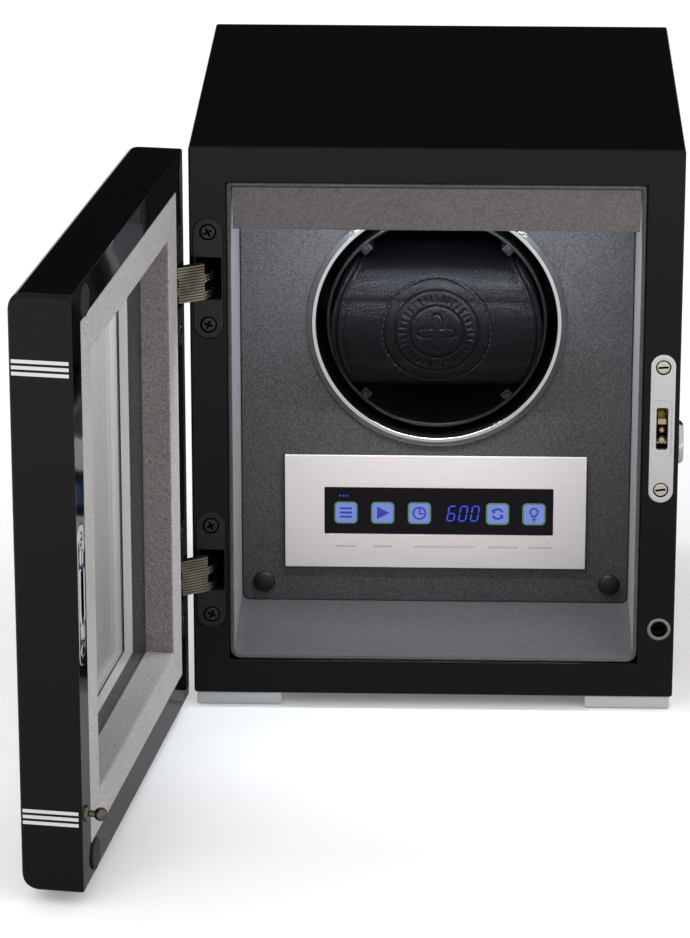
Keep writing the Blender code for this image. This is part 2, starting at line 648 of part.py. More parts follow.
# ---- lock and catch -------------------------------------------------------------------------------
LOCK_BOX_HALF = 4.5 * MM
LOCK_BOX_LOW, LOCK_BOX_HIGH = 99 * MM, 150 * MM
LOCK_BOX_FRONT, LOCK_BOX_BACK = LOCK_PLATE_THICK + GAP, 20 * MM
HOOK_Y, HOOK_Z = 6.5 * MM, LOCK_Z + 12.1 * MM  # pivot of the hook bolt
HOOK_SWING = math.radians(75)
HOOK_INNER, HOOK_OUTER = 9.4 * MM, 11.6 * MM  # radii of the hook's curved bar
HOOK_HALF = 1.8 * MM
STRIKER_SLOT_WIDTH, STRIKER_SLOT_HEIGHT = 5.0 * MM, 20 * MM


def cut_lock_mortise(wall, frame):
    """Seat the lock plate, box, key cylinder and catch socket in the right wall."""
    seat_line = rounded_rectangle(
        LOCK_X, LOCK_Z, LOCK_PLATE_WIDTH + 2 * GAP, LOCK_PLATE_HEIGHT + 2 * GAP, LOCK_PLATE_WIDTH / 2 + GAP
    )
    cutter(wall, prism("lock_seat", [seat_line], "Y", -1 * MM, LOCK_BOX_FRONT, None, frame))
    low = (LOCK_X - LOCK_BOX_HALF - GAP, -1 * MM, LOCK_BOX_LOW - GAP)
    high = (LOCK_X + LOCK_BOX_HALF + GAP, LOCK_BOX_BACK + GAP, LOCK_BOX_HIGH + GAP)
    cutter(wall, box("lock_pocket", low, high, None, frame))
    outside = CASE_WIDTH / 2 + 1 * MM
    bore = [(0, LOCK_X), (5.4 * MM, LOCK_X), (5.4 * MM, outside), (0, outside)]
    cutter(wall, turned("key_bore", bore, (BARREL_Y, BARREL_Z), "X", None, frame, count=24))
    hole = [(0, -1 * MM), (4.4 * MM, -1 * MM), (4.4 * MM, 11.5 * MM), (0, 11.5 * MM)]
    cutter(wall, turned("catch_bore", hole, (CATCH_X, CATCH_Z), "Y", None, frame, count=24))


def hook_outline():
    """The hook bolt drawn back: a curved bar joined by a web to the hub it turns on.

    Angles run from straight towards the door, upwards positive. Swung out, the bar passes through
    both slots and curves up behind the solid part of the striker, so the door cannot leave.
    """
    hub = 2.6 * MM
    back, web_front, tip = (math.radians(angle) - HOOK_SWING for angle in (-50, -38, 10.4))
    steps = [(HOOK_OUTER, back + (tip - back) * i / 12) for i in range(13)]
    steps += [(HOOK_INNER, tip + (web_front - tip) * i / 9) for i in range(10)]
    hub_start, hub_end = math.radians(-105), math.radians(210)
    steps += [(hub, hub_start + (hub_end - hub_start) * i / 16) for i in range(17)]
    return [(HOOK_Y - r * math.cos(angle), HOOK_Z + r * math.sin(angle)) for r, angle in steps]


def make_lock(finishes, frame):
    """Lock plate, box, hook bolt, key cylinder with its escutcheon, and the catch socket."""
    outline = rounded_rectangle(
        LOCK_X, LOCK_Z, LOCK_PLATE_WIDTH, LOCK_PLATE_HEIGHT, LOCK_PLATE_WIDTH / 2, steps=8
    )
    slot = rounded_rectangle(LOCK_X, LOCK_Z, LOCK_SLOT_WIDTH, LOCK_SLOT_HEIGHT, 1 * MM, steps=3)
    screws = [circle(LOCK_X, LOCK_Z + side * 26.5 * MM, 1.6 * MM, 12) for side in (-1, 1)]
    plate_front = -0.2 * MM
    lines = [outline, slot] + screws
    prism("lock_plate", lines, "Y", plate_front, LOCK_PLATE_THICK, finishes["chrome"], frame)

    low = Vector((LOCK_X - LOCK_BOX_HALF, LOCK_BOX_FRONT, LOCK_BOX_LOW))
    high = Vector((LOCK_X + LOCK_BOX_HALF, LOCK_BOX_BACK, LOCK_BOX_HIGH))
    wall = 1 * MM
    lock_box = box("lock_case", low, high, finishes["steel"], frame)
    hollow_low = low + Vector((wall, -2 * MM, wall))
    cutter(lock_box, box("lock_hollow", hollow_low, high - Vector((wall, wall, wall)), None, frame))
    radius = BARREL_RADIUS + GAP
    bore = [(0, LOCK_X), (radius, LOCK_X), (radius, LOCK_X + 6 * MM), (0, LOCK_X + 6 * MM)]
    cutter(lock_box, turned("barrel_hole", bore, (BARREL_Y, BARREL_Z), "X", None, frame, count=24))

    left, right = LOCK_X - HOOK_HALF, LOCK_X + HOOK_HALF
    prism("lock_hook", [hook_outline()], "X", left, right, finishes["brass"], frame)

    outside = CASE_WIDTH / 2
    barrel = [
        (0, LOCK_X - 2 * MM), (BARREL_RADIUS, LOCK_X - 2 * MM),
        (BARREL_RADIUS, outside + 1.4 * MM), (0, outside + 1.4 * MM),
    ]
    place = (BARREL_Y, BARREL_Z)
    lock_barrel = turned("lock_barrel", barrel, place, "X", finishes["brass"], frame, count=24)
    key_low = (outside - 6 * MM, BARREL_Y - 0.5 * MM, BARREL_Z - 2.8 * MM)
    key_high = (outside + 3 * MM, BARREL_Y + 0.5 * MM, BARREL_Z + 2.8 * MM)
    cutter(lock_barrel, box("key_way", key_low, key_high, None, frame))
    inner = BARREL_RADIUS + GAP
    disc = [
        (inner, outside - 2 * MM), (5 * MM, outside - 2 * MM), (5 * MM, outside + GAP),
        (ESCUTCHEON_RADIUS, outside + GAP), (ESCUTCHEON_RADIUS, outside + 1.2 * MM),
        (ESCUTCHEON_RADIUS - 1.2 * MM, outside + ESCUTCHEON_PROUD), (inner, outside + ESCUTCHEON_PROUD),
    ]
    turned("key_escutcheon", disc, place, "X", finishes["chrome"], frame, closed=True, count=28)

    socket = [
        (0, 11 * MM), (4.1 * MM, 11 * MM), (4.1 * MM, -GAP), (4.9 * MM, -GAP), (4.9 * MM, -0.8 * MM),
        (3.5 * MM, -0.8 * MM), (3.5 * MM, 9.5 * MM), (0, 9.5 * MM),
    ]
    turned("catch_socket", socket, (CATCH_X, CATCH_Z), "Y", finishes["antique_nickel"], frame, count=24)


# ---- the door --------------------------------------------------------------------------------------
DOOR_BACK = -DOOR_GAP  # inner face of the shut door
DOOR_FRONT = -DOOR_GAP - DOOR_THICK
DOOR_MIDDLE_Z = (CASE_FLOOR + CASE_TOP) / 2
OPENING_HALF = (
    CASE_WIDTH / 2 - DOOR_FRAME,
    (CASE_TOP - CASE_FLOOR) / 2 - DOOR_FRAME,
)


def corner_point(side_x, side_z, out, y):
    """A point on the mitre line of a door corner, this far outside the opening."""
    half_x, half_z = OPENING_HALF
    return (side_x * (half_x + out), y, DOOR_MIDDLE_Z + side_z * (half_z + out))


def make_door_bar(name, section, first, last, gap, material, parent):
    """A rail or stile between two mitred corners, kept this far from its neighbours."""
    rings = []
    for corner, other in ((first, last), (last, first)):
        along = Vector((other[0] - corner[0], 0, other[1] - corner[1])).normalized()
        rings.append([Vector(corner_point(*corner, out, y)) + gap * along for out, y in section])
    return loft(name, rings, material, parent)


def make_door(finishes, shut):
    """Four lacquered bars round the glass, with the suede liner, trim, bumpers, striker and stud."""
    lacquer = finishes["black_lacquer"]
    seat = DOOR_FRAME - DOOR_BORDER + GAP
    recess = DOOR_BACK - 1.2 * MM
    over = 2 * MM
    section = [
        (0, DOOR_FRONT - over), (DOOR_FRAME + over, DOOR_FRONT - over), (DOOR_FRAME + over, DOOR_BACK),
        (seat, DOOR_BACK), (seat, recess), (0, recess),
    ]
    envelope_line = door_envelope_line()
    corners = {"top_rail": ((-1, 1), (1, 1)), "bottom_rail": ((-1, -1), (1, -1)),
               "hinge_stile": ((-1, -1), (-1, 1)), "lock_stile": ((1, -1), (1, 1))}
    bars = {}
    for name, (first, last) in corners.items():
        bar = make_door_bar(f"door_{name}", section, first, last, GAP, lacquer, shut)
        half = CASE_WIDTH / 2
        envelope = prism(f"{name}_envelope", [envelope_line], "X", -half, half, None, shut)
        cutter(bar, envelope, "INTERSECT")
        bars[name] = bar
    for z in HINGE_PLACES.values():
        cut_hinge_mortise(bars["hinge_stile"], z, DOOR_BACK, -1, shut)
    make_glazing(finishes, shut, recess)
    make_striker(finishes, shut, bars["lock_stile"])
    make_stud(finishes, shut, bars["lock_stile"])
    for level, z in (("lower", CASE_FLOOR + 8 * MM), ("upper", CASE_TOP - 8 * MM)):
        disc = [(0, DOOR_BACK + GAP), (6.2 * MM, DOOR_BACK + GAP), (5.6 * MM, DOOR_BACK + 0.9 * MM),
                (0, DOOR_BACK + 0.9 * MM)]
        turned(f"door_bumper_{level}", disc, (80 * MM, z), "Y", finishes["rubber"], shut, count=24)


def door_envelope_line():
    """The door's outline in the Y-Z plane: wide round edges in front, small ones at the back."""
    points = []
    corners = (
        (DOOR_FRONT, CASE_FLOOR, DOOR_OUTER_RADIUS, 180), (DOOR_BACK, CASE_FLOOR, DOOR_EDGE_RADIUS, 270),
        (DOOR_BACK, CASE_TOP, DOOR_EDGE_RADIUS, 0), (DOOR_FRONT, CASE_TOP, DOOR_OUTER_RADIUS, 90),
    )
    for y, z, radius, start in corners:
        centre_y = y + radius if y == DOOR_FRONT else y - radius
        centre_z = z + radius if z == CASE_FLOOR else z - radius
        for i in range(5):
            angle = math.radians(start + 90 * i / 4)
            points.append((centre_y + radius * math.cos(angle), centre_z + radius * math.sin(angle)))
    return points


def make_glazing(finishes, shut, recess):
    """The glass, the bright trim that holds it, and the suede liner round the opening."""
    half_x, half_z = OPENING_HALF
    glass_front = DOOR_FRONT + 0.4 * MM
    glass_back = glass_front + 2.5 * MM
    reach_x, reach_z = half_x - GAP, half_z - GAP
    low = (-reach_x, glass_front, DOOR_MIDDLE_Z - reach_z)
    box("door_glass", low, (reach_x, glass_back, DOOR_MIDDLE_Z + reach_z), finishes["door_glass"], shut)
    trim_back = glass_back + GAP + 3.4 * MM
    trim_front = glass_back + GAP
    trim = [(-GAP, trim_front), (-GAP, trim_back), (-1.8 * MM, trim_back), (-1.8 * MM, trim_front)]
    picture_frame("glazing_trim", trim, finishes["chrome"], shut)
    face = DOOR_BACK + 0.1 * MM
    skin = recess + GAP
    liner = [
        (-GAP, DOOR_BACK - 11.8 * MM), (-GAP, skin), (DOOR_FRAME - DOOR_BORDER, skin),
        (DOOR_FRAME - DOOR_BORDER, face), (-GAP - SUEDE_SKIN, face),
        (-GAP - SUEDE_SKIN, DOOR_BACK - 11.8 * MM),
    ]
    picture_frame("door_liner", liner, finishes["door_suede"], shut)


def picture_frame(name, section, material, parent):
    """Run a section round the door opening with mitred corners."""
    corners = ((-1, -1), (1, -1), (1, 1), (-1, 1))
    rings = [[corner_point(*corner, out, y) for corner in corners] for out, y in section]
    return loft(name, rings, material, parent, closed=True)


def make_striker(finishes, shut, stile):
    """A round-ended plate let into the lock stile, with a slot that the hook bolt swings into."""
    z = LOCK_Z
    width, height, plate = 10 * MM, 56 * MM, 1.6 * MM
    face = DOOR_BACK + 0.2 * MM
    seat_line = rounded_rectangle(LOCK_X, z, width + 2 * GAP, height + 2 * GAP, width / 2 + GAP, steps=6)
    seat_back = DOOR_BACK + 1 * MM
    cutter(stile, prism("striker_seat", [seat_line], "Y", face - plate - GAP, seat_back, None, shut))
    low = (LOCK_X - STRIKER_SLOT_WIDTH / 2, face - plate - 4 * MM, z - STRIKER_SLOT_HEIGHT / 2)
    high = (LOCK_X + STRIKER_SLOT_WIDTH / 2, seat_back, HOOK_Z + 3 * MM)
    cutter(stile, box("hook_pocket", low, high, None, shut))
    outline = rounded_rectangle(LOCK_X, z, width, height, width / 2, steps=8)
    slot = rounded_rectangle(LOCK_X, z, STRIKER_SLOT_WIDTH, STRIKER_SLOT_HEIGHT, 1 * MM, steps=3)
    screws = [circle(LOCK_X, z + side * 22 * MM, 1.6 * MM, 12) for side in (-1, 1)]
    lines = [outline, slot] + screws
    prism("lock_striker", lines, "Y", face - plate, face, finishes["chrome"], shut)


def make_stud(finishes, shut, stile):
    """The ball stud that snaps into the catch socket."""
    base = 3 * MM
    seat = [(0, DOOR_BACK - 6.3 * MM), (base + GAP, DOOR_BACK - 6.3 * MM), (base + GAP, 0), (0, 0)]
    centre = (CATCH_X, CATCH_Z)
    cutter(stile, turned("stud_seat", seat, centre, "Y", None, shut, count=20))
    ball_radius, neck = 2.65 * MM, 1.3 * MM
    ball_centre = DOOR_BACK + 5.85 * MM
    profile = [(0, DOOR_BACK - 6 * MM), (base, DOOR_BACK - 6 * MM), (base, DOOR_BACK + 0.6 * MM),
               (neck, DOOR_BACK + 1.4 * MM)]
    start = math.asin(neck / ball_radius)
    for i in range(9):
        angle = start + (math.pi - start) * i / 8
        profile.append((ball_radius * math.sin(angle), ball_centre - ball_radius * math.cos(angle)))
    profile[-1] = (0, ball_centre + ball_radius)
    turned("catch_stud", profile, centre, "Y", finishes["antique_nickel"], shut, count=16)


# ---- assembly ----------------------------------------------------------------------------------------
def frame_place():
    """Where the case's own frame lies, so that the whole object is centred over the origin."""
    turn = Matrix.Rotation(math.radians(-DOOR_OPEN_DEG), 2)
    axis = Vector((AXIS_X, AXIS_Y))
    half = CASE_WIDTH / 2
    swung = [axis + turn @ (Vector((half, y)) - axis) for y in (DOOR_FRONT, DOOR_BACK)]
    low_x = min(point.x for point in swung)
    low_y = min(point.y for point in swung)
    return (-(low_x + half + ESCUTCHEON_PROUD) / 2, -(low_y + CASE_DEPTH) / 2, 0)


def main():
    for old in list(bpy.data.objects):
        bpy.data.objects.remove(old, do_unlink=True)
    finishes = make_materials()
    frame = empty("case_frame", frame_place(), 0, None)
    door = empty("door_axis", (AXIS_X, AXIS_Y, 0), -DOOR_OPEN_DEG, frame)
    shut = empty("door_shut_frame", (-AXIS_X, -AXIS_Y, 0), 0, door)
    make_case(finishes, frame)
    make_lining(finishes, frame)
    make_fascia(finishes, frame)
    boss_end = make_drum(finishes, frame)
    make_rotating(finishes, frame, boss_end)
    make_cushion(finishes, frame)
    make_lock(finishes, frame)
    make_door(finishes, shut)
    make_hinges(finishes, frame, door, shut)


main()
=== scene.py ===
"""Looks of the watch winder box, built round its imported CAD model.

Shapes are drawn in millimetres, and the matrices CASE and DOOR bring them to the frame's metres. Case
pieces are drawn in the case's own frame: X to the right from the middle of the case, Y to the back from
its front face, Z up from the floor. Door pieces are drawn with the door shut, and DOOR swings them to
where the door stands at rest. Depths of bump in the materials, and the studio, are in metres.
"""

import json
import random
from math import asin, atan2, cos, hypot, pi, radians, sin, sqrt

import bmesh
import bpy
from mathutils import Matrix, Vector
from mathutils.geometry import delaunay_2d_cdt


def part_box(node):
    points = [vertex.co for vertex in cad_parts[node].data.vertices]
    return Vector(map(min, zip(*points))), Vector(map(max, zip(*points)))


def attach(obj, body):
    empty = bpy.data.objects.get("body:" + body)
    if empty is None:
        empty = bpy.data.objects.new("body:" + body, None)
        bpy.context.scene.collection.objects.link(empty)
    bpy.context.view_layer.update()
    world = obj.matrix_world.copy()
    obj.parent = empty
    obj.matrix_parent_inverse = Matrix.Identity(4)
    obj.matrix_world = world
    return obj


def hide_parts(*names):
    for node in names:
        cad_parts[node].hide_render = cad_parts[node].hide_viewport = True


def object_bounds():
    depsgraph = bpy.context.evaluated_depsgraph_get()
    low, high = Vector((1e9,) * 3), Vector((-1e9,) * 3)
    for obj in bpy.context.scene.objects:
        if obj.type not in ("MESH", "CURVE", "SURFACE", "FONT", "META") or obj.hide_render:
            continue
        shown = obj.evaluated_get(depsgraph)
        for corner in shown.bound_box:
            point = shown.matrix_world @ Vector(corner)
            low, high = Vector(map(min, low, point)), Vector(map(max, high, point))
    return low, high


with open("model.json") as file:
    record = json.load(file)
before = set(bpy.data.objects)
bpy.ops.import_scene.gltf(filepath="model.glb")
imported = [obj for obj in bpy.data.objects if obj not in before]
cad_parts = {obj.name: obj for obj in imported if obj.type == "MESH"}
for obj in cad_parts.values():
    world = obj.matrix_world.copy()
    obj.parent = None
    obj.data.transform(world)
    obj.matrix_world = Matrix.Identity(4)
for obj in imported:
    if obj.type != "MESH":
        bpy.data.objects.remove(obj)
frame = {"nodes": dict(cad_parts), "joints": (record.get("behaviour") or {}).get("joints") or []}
cad_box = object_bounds()
joints = {joint["name"]: joint for joint in frame["joints"]}

# ---- the two frames that everything is drawn in ----
MILLIMETRES = Matrix.Scale(0.001, 4)
top_low, top_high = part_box("case_top")
CASE = Matrix.Translation(((top_low.x + top_high.x) / 2, top_low.y, 0)) @ MILLIMETRES
hinge_axis = Vector(joints["door_swing"]["pos_m"])
open_angle = radians(joints["door_swing"]["range_deg"][1])
DOOR = (
    Matrix.Translation(hinge_axis)
    @ Matrix.Rotation(-open_angle, 4, "Z")
    @ Matrix.Translation(-hinge_axis)
    @ CASE
)


def span(node, place=CASE):
    """Lowest and highest corner of a CAD node in the frame of a placing matrix."""
    back = place.inverted()
    points = [back @ v.co for v in frame["nodes"][node].data.vertices]
    return tuple(Vector([pick(p[i] for p in points) for i in range(3)]) for pick in (min, max))


def middle(node, place=CASE):
    """X and Z of the middle of a CAD node in the frame of a placing matrix."""
    low, high = span(node, place)
    return (low.x + high.x) / 2, (low.z + high.z) / 2


# A face frame has y = 0 on the face and y > 0 going into the body.
MIRROR_Y = Matrix.Diagonal((1, -1, 1, 1))
DOOR_BACK = span("hinge_leaf_door_upper", DOOR)[1].y
DOOR_FACE = DOOR @ Matrix.Translation((0, DOOR_BACK, 0)) @ MIRROR_Y
SWAP_YZ = Matrix(((1, 0, 0, 0), (0, 0, 1, 0), (0, 1, 0, 0), (0, 0, 0, 1)))

# ---- sizes that more than one piece uses, or that set the look, in millimetres ----
LEVELS = ("upper", "lower")
SIDES = ("left", "right")
LEAF_SEAT = 17.6  # depth of the pocket for a hinge leaf with its link cup
LOCK_SEAT = 20.5  # depth of the pocket for the lock
LINING_TOP = 1.4  # thickness of the lining's strip along the top
ICON_SIZE = 9.8
ICON_PLACES = (-38.2, -22.5, -6.8, 26.6, 42.1)
ICON_Z = 64.0
DIGITS_X = 11.9
DIGIT_PITCH = 5.0
SEGMENTS = {"6": "afgecd", "0": "abcdef"}
MARKS = ((-38.2, 9.0), (-22.5, 8.0), (4.0, 26.0), (29.0, 13.0), (45.0, 10.0))  # middle and length
FILM_PROUD = 0.02  # how far the thin lit and printed films lie in front of their plate
LUG_ANGLES = (47, 133, 227, 313)
CUFF_FLAT, CUFF_CORNER, CUFF_BULGE = 13.0, 15.0, 2.2
# Height, distance from the cuff's end and half width of each fold and valley of the piping.
PIPING = ((0.30, 0.9, 0.8), (0.30, 3.3, 0.8), (-0.55, 2.1, 0.7), (-0.35, 4.6, 1.2))
ROUNDEL = 26.0  # radius of the tooled patch on the cuff
STITCH_RADIUS = 22.7
LINK_CUP_X = -92.25
ELBOW = Vector((-94.8, -4.2))  # X and Y of the line where the two packs of links meet
STRIPE_TALL, STRIPE_PITCH = 1.4, 2.38
STRIPE_GROUPS = (214.5, 36.5)
CAMERA_PLACE = (13.6, -1740, 730)
CAMERA_PITCH, CAMERA_YAW = 19.72, 1.66
CAMERA_LENS = 172.5


# ---- materials ----
def add_node(tree, kind, sockets, **settings):
    """A shader node with its inputs set, or linked where the value is another node's output."""
    node = tree.nodes.new("ShaderNode" + kind)
    for name, value in settings.items():
        setattr(node, name, value)
    for socket, value in sockets.items():
        if isinstance(value, bpy.types.NodeSocket):
            tree.links.new(value, node.inputs[socket])
        else:
            node.inputs[socket].default_value = value
    return node


class Finish:
    """A Principled material and the few nodes that these finishes need."""

    def __init__(self, name, colour, roughness, metallic=0.0, **sockets):
        self.material = bpy.data.materials.new(name)
        self.material.use_nodes = True
        self.tree = self.material.node_tree
        self.shader = self.tree.nodes["Principled BSDF"]
        self.set("Base Color", (*colour, 1.0))
        self.set("Roughness", roughness)
        self.set("Metallic", metallic)
        for socket, value in sockets.items():
            self.set(socket.replace("_", " "), value)
        self.coordinates = self.add("TexCoord", {}).outputs["Object"]
        self.height = None

    def set(self, socket, value):
        """Set one of the shader's own sockets, found by its name without regard to case."""
        for own in self.shader.inputs:
            if own.name.lower() == socket.lower():
                own.default_value = value
                return
        raise KeyError(socket)

    def add(self, kind, sockets, **settings):
        return add_node(self.tree, kind, sockets, **settings)

    def drive(self, source, socket):
        """Link an output to one of the shader's sockets."""
        self.tree.links.new(source, self.shader.inputs[socket])

    def stretched(self, scale):
        """Object coordinates scaled by axis, for grain that runs one way."""
        return self.add("Mapping", {"Scale": scale, "Vector": self.coordinates}).outputs["Vector"]

    def noise(self, scale, detail=2.0, vector=None, roughness=0.5):
        """Plain noise, in the object's own coordinates unless others are given."""
        vector = vector or self.coordinates
        sockets = {"Scale": scale, "Detail": detail, "Roughness": roughness, "Vector": vector}
        return self.add("TexNoise", sockets).outputs["Fac"]

    def ramp(self, source, low, high, to_low, to_high):
        """Bring an output's range from low and high to two new ends."""
        sockets = {"Value": source, "From Min": low, "From Max": high, "To Min": to_low, "To Max": to_high}
        return self.add("MapRange", sockets).outputs["Result"]

    def maths(self, operation, *values):
        return self.add("Math", dict(enumerate(values)), operation=operation).outputs[0]

    def mix_colour(self, factor, first, second):
        """Mix two colours by a factor and give the result to the shader."""
        node = self.add("Mix", {"Factor": factor}, data_type="RGBA")
        for socket in node.inputs:
            if socket.name in ("A", "B") and socket.type == "RGBA":
                socket.default_value = (*(first if socket.name == "A" else second), 1.0)
        self.drive([socket for socket in node.outputs if socket.type == "RGBA"][0], "Base Color")

    def vary_roughness(self, source, low, high):
        """Let the roughness follow a noise, whose middle runs from 0.3 to 0.7."""
        self.drive(self.ramp(source, 0.3, 0.7, low, high), "Roughness")

    def bump(self, source, depth, strength):
        """Add bump of a real depth in metres; a later call stacks on the one before."""
        node = self.add("Bump", {"Strength": strength, "Distance": depth, "Height": source})
        if self.height is not None:
            self.tree.links.new(self.height, node.inputs["Normal"])
        self.height = node.outputs["Normal"]
        self.drive(self.height, "Normal")


def lacquer():
    """Gloss black lacquer, polished nearly flat, with a faint haze of handling."""
    made = Finish("gloss_lacquer", (0.0020, 0.0020, 0.0023), 0.06, IOR=1.32)
    made.vary_roughness(made.noise(28, 4), 0.035, 0.085)
    made.bump(made.noise(55, 1), 0.00004, 0.25)
    return made.material


def suede(name, dark, light, nap=(1.0, 1.0, 1.0), share=0.25):
    """Short-nap suede: fine fibre speckle, soft clouding where the nap lies both ways."""
    made = Finish(name, light, 0.95, sheen_weight=0.25, sheen_roughness=0.4, IOR=1.3)
    fine = made.noise(1150, 3, roughness=0.7)
    cloud = made.noise(30, 2, made.stretched(nap))
    blend = made.maths("MULTIPLY_ADD", cloud, share, made.ramp(fine, 0.32, 0.68, 0.0, 0.95 - share))
    made.mix_colour(blend, dark, light)
    made.bump(fine, 0.00025, 0.55)
    made.bump(cloud, 0.0006, 0.2)
    return made.material


def brushed(name, colour, roughness, along, metallic=1.0, fine=2600):
    """Brushed metal; along is the axis that the scratches run on."""
    made = Finish(name, colour, roughness, metallic, anisotropic=0.5)
    scale = [1.0, 1.0, 1.0]
    scale["XYZ".index(along)] = 0.012
    lines = made.noise(fine, 3, made.stretched(scale), 0.7)
    made.vary_roughness(lines, roughness - 0.07, roughness + 0.1)
    made.mix_colour(lines, [c * 0.86 for c in colour], [min(1.0, c * 1.06) for c in colour])
    made.bump(lines, 0.00002, 0.4)
    return made.material


def turned_metal(name, colour, roughness):
    """Bright metal with faint smears and hairline scratches."""
    made = Finish(name, colour, roughness, 1.0)
    made.vary_roughness(made.noise(260, 4), roughness * 0.6, roughness * 1.5)
    made.bump(made.noise(900, 2, made.stretched((1, 1, 0.05))), 0.00001, 0.3)
    return made.material


def aged_metal():
    """Nickel over brass that has darkened in uneven patches."""
    made = Finish("aged_nickel", (0.42, 0.36, 0.27), 0.32, 1.0)
    stain = made.noise(90, 2, roughness=0.6)
    made.mix_colour(made.ramp(stain, 0.3, 0.7, 0, 1), (0.13, 0.112, 0.085), (0.29, 0.255, 0.20))
    made.vary_roughness(stain, 0.3, 0.2)
    made.bump(made.noise(2200, 2), 0.000006, 0.5)
    return made.material


def moulded(name, colour, roughness, grain=1800, depth=0.00004, **sockets):
    """Moulded plastic or rubber with a fine spark-eroded texture."""
    made = Finish(name, colour, roughness, **sockets)
    spark = made.noise(grain, 2, roughness=0.6)
    made.vary_roughness(spark, roughness - 0.08, roughness + 0.08)
    made.bump(spark, depth, 0.5)
    return made.material


def leather():
    """Black grained leather: pebbles with creases between them, and a soft sheen."""
    made = Finish("cuff_leather", (0.004, 0.004, 0.005), 0.40, IOR=1.27)
    warp = made.noise(300, 2)
    cells = made.add("TexVoronoi", {"Scale": 1150, "Vector": made.coordinates}, feature="DISTANCE_TO_EDGE")
    pebbles = made.ramp(cells.outputs["Distance"], 0.0, 0.22, 0.0, 1.0)
    made.vary_roughness(warp, 0.29, 0.39)
    made.mix_colour(pebbles, (0.0012, 0.0012, 0.0016), (0.0042, 0.0044, 0.0056))
    made.bump(warp, 0.00025, 0.4)
    made.bump(pebbles, 0.00015, 0.65)
    return made.material


def glowing(name, colour, strength, base=(0.02, 0.02, 0.05)):
    """A lit symbol, a little uneven as an edge-lit film is."""
    made = Finish(name, base, 0.4)
    made.set("Emission Color", (*colour, 1.0))
    made.set("Emission Strength", strength)
    made.vary_roughness(made.noise(900, 2), 0.35, 0.5)
    return made.material


def clear_glass():
    """Float glass with a faint green cast."""
    made = Finish("float_glass", (0.985, 0.99, 0.975), 0.0, IOR=1.15, transmission_weight=1.0)
    made.vary_roughness(made.noise(30, 2), 0.0, 0.006)
    return made.material


def floor_paint():
    """White studio floor. Glossy surfaces see it duller, most of all close to the object: a painted shadow
    that only reflections show.
    """
    made = Finish("studio_floor", (0.93, 0.93, 0.93), 0.9, emission_strength=0.12)
    made.set("Emission Color", (1, 1, 1, 1))
    made.vary_roughness(made.noise(3, 2), 0.85, 0.95)
    reach = made.add("VectorMath", {0: made.coordinates}, operation="LENGTH").outputs["Value"]
    mirrored = made.add("LightPath", {}).outputs["Is Glossy Ray"]
    painted_floor_shadow = made.maths("MULTIPLY", mirrored, made.ramp(reach, 0.15, 0.9, 0.72, 0.30))
    made.mix_colour(painted_floor_shadow, (0.93, 0.93, 0.93), (0.0, 0.0, 0.0))
    return made.material


LACQUER = lacquer()
FASCIA_SUEDE = suede("fascia_suede", (0.024, 0.023, 0.023), (0.102, 0.098, 0.099))
FLOOR_SUEDE = suede("lining_suede", (0.040, 0.040, 0.041), (0.138, 0.138, 0.141), (0.35, 1.8, 1.0), 0.4)
# A darker copy of the lining suede for the side walls: painted shade.
WALL_SUEDE_PAINTED_SHADE = suede("wall_suede_painted_shade", (0.026, 0.026, 0.027), (0.098, 0.098, 0.100))
PELMET_SUEDE = suede("pelmet_suede", (0.070, 0.061, 0.062), (0.160, 0.143, 0.145))
DOOR_SUEDE = suede("door_suede", (0.17, 0.16, 0.157), (0.49, 0.465, 0.46))
# A darker copy of the door suede: painted shade for the hinge side of the liner.
SHADED_SUEDE = suede("door_suede_painted_shade", (0.070, 0.062, 0.060), (0.27, 0.247, 0.24))
REVEAL_SUEDE = suede("reveal_suede", (0.040, 0.037, 0.036), (0.115, 0.107, 0.103))
PLATE_METAL = brushed("champagne_plate", (0.82, 0.755, 0.735), 0.42, "X", 0.25)
FOOT_METAL = brushed("satin_silver", (0.50, 0.515, 0.525), 0.38, "X", 0.35, 1800)
RING_METAL = turned_metal("bright_ring", (0.86, 0.86, 0.86), 0.16)
CHROME = turned_metal("nickel_chrome", (0.80, 0.80, 0.81), 0.07)
LOCK_METAL = moulded("satin_nickel", (0.78, 0.78, 0.785), 0.26, 90, 0.0, metallic=0.9)
LOCK_SCREW = moulded("pale_brass", (0.74, 0.69, 0.60), 0.24, 2600, 0.000002, metallic=0.9)
TRIM_METAL = moulded("satin_trim", (0.60, 0.61, 0.585), 0.42, 2400, 0.00001, metallic=0.2)
STRIPE_METAL = moulded("inlaid_stripe", (0.66, 0.66, 0.64), 0.3, 2600, 0.00002, metallic=0.3)
STEEL = brushed("plain_steel", (0.50, 0.50, 0.50), 0.35, "Z")
BRASS = turned_metal("turned_brass", (0.62, 0.50, 0.30), 0.26)
AGED = aged_metal()
NICKEL = turned_metal("old_nickel", (0.36, 0.335, 0.285), 0.2)
SCREW_BLACK = moulded("black_screws", (0.009, 0.009, 0.0085), 0.22, 2400, 0.00001, IOR=1.47)
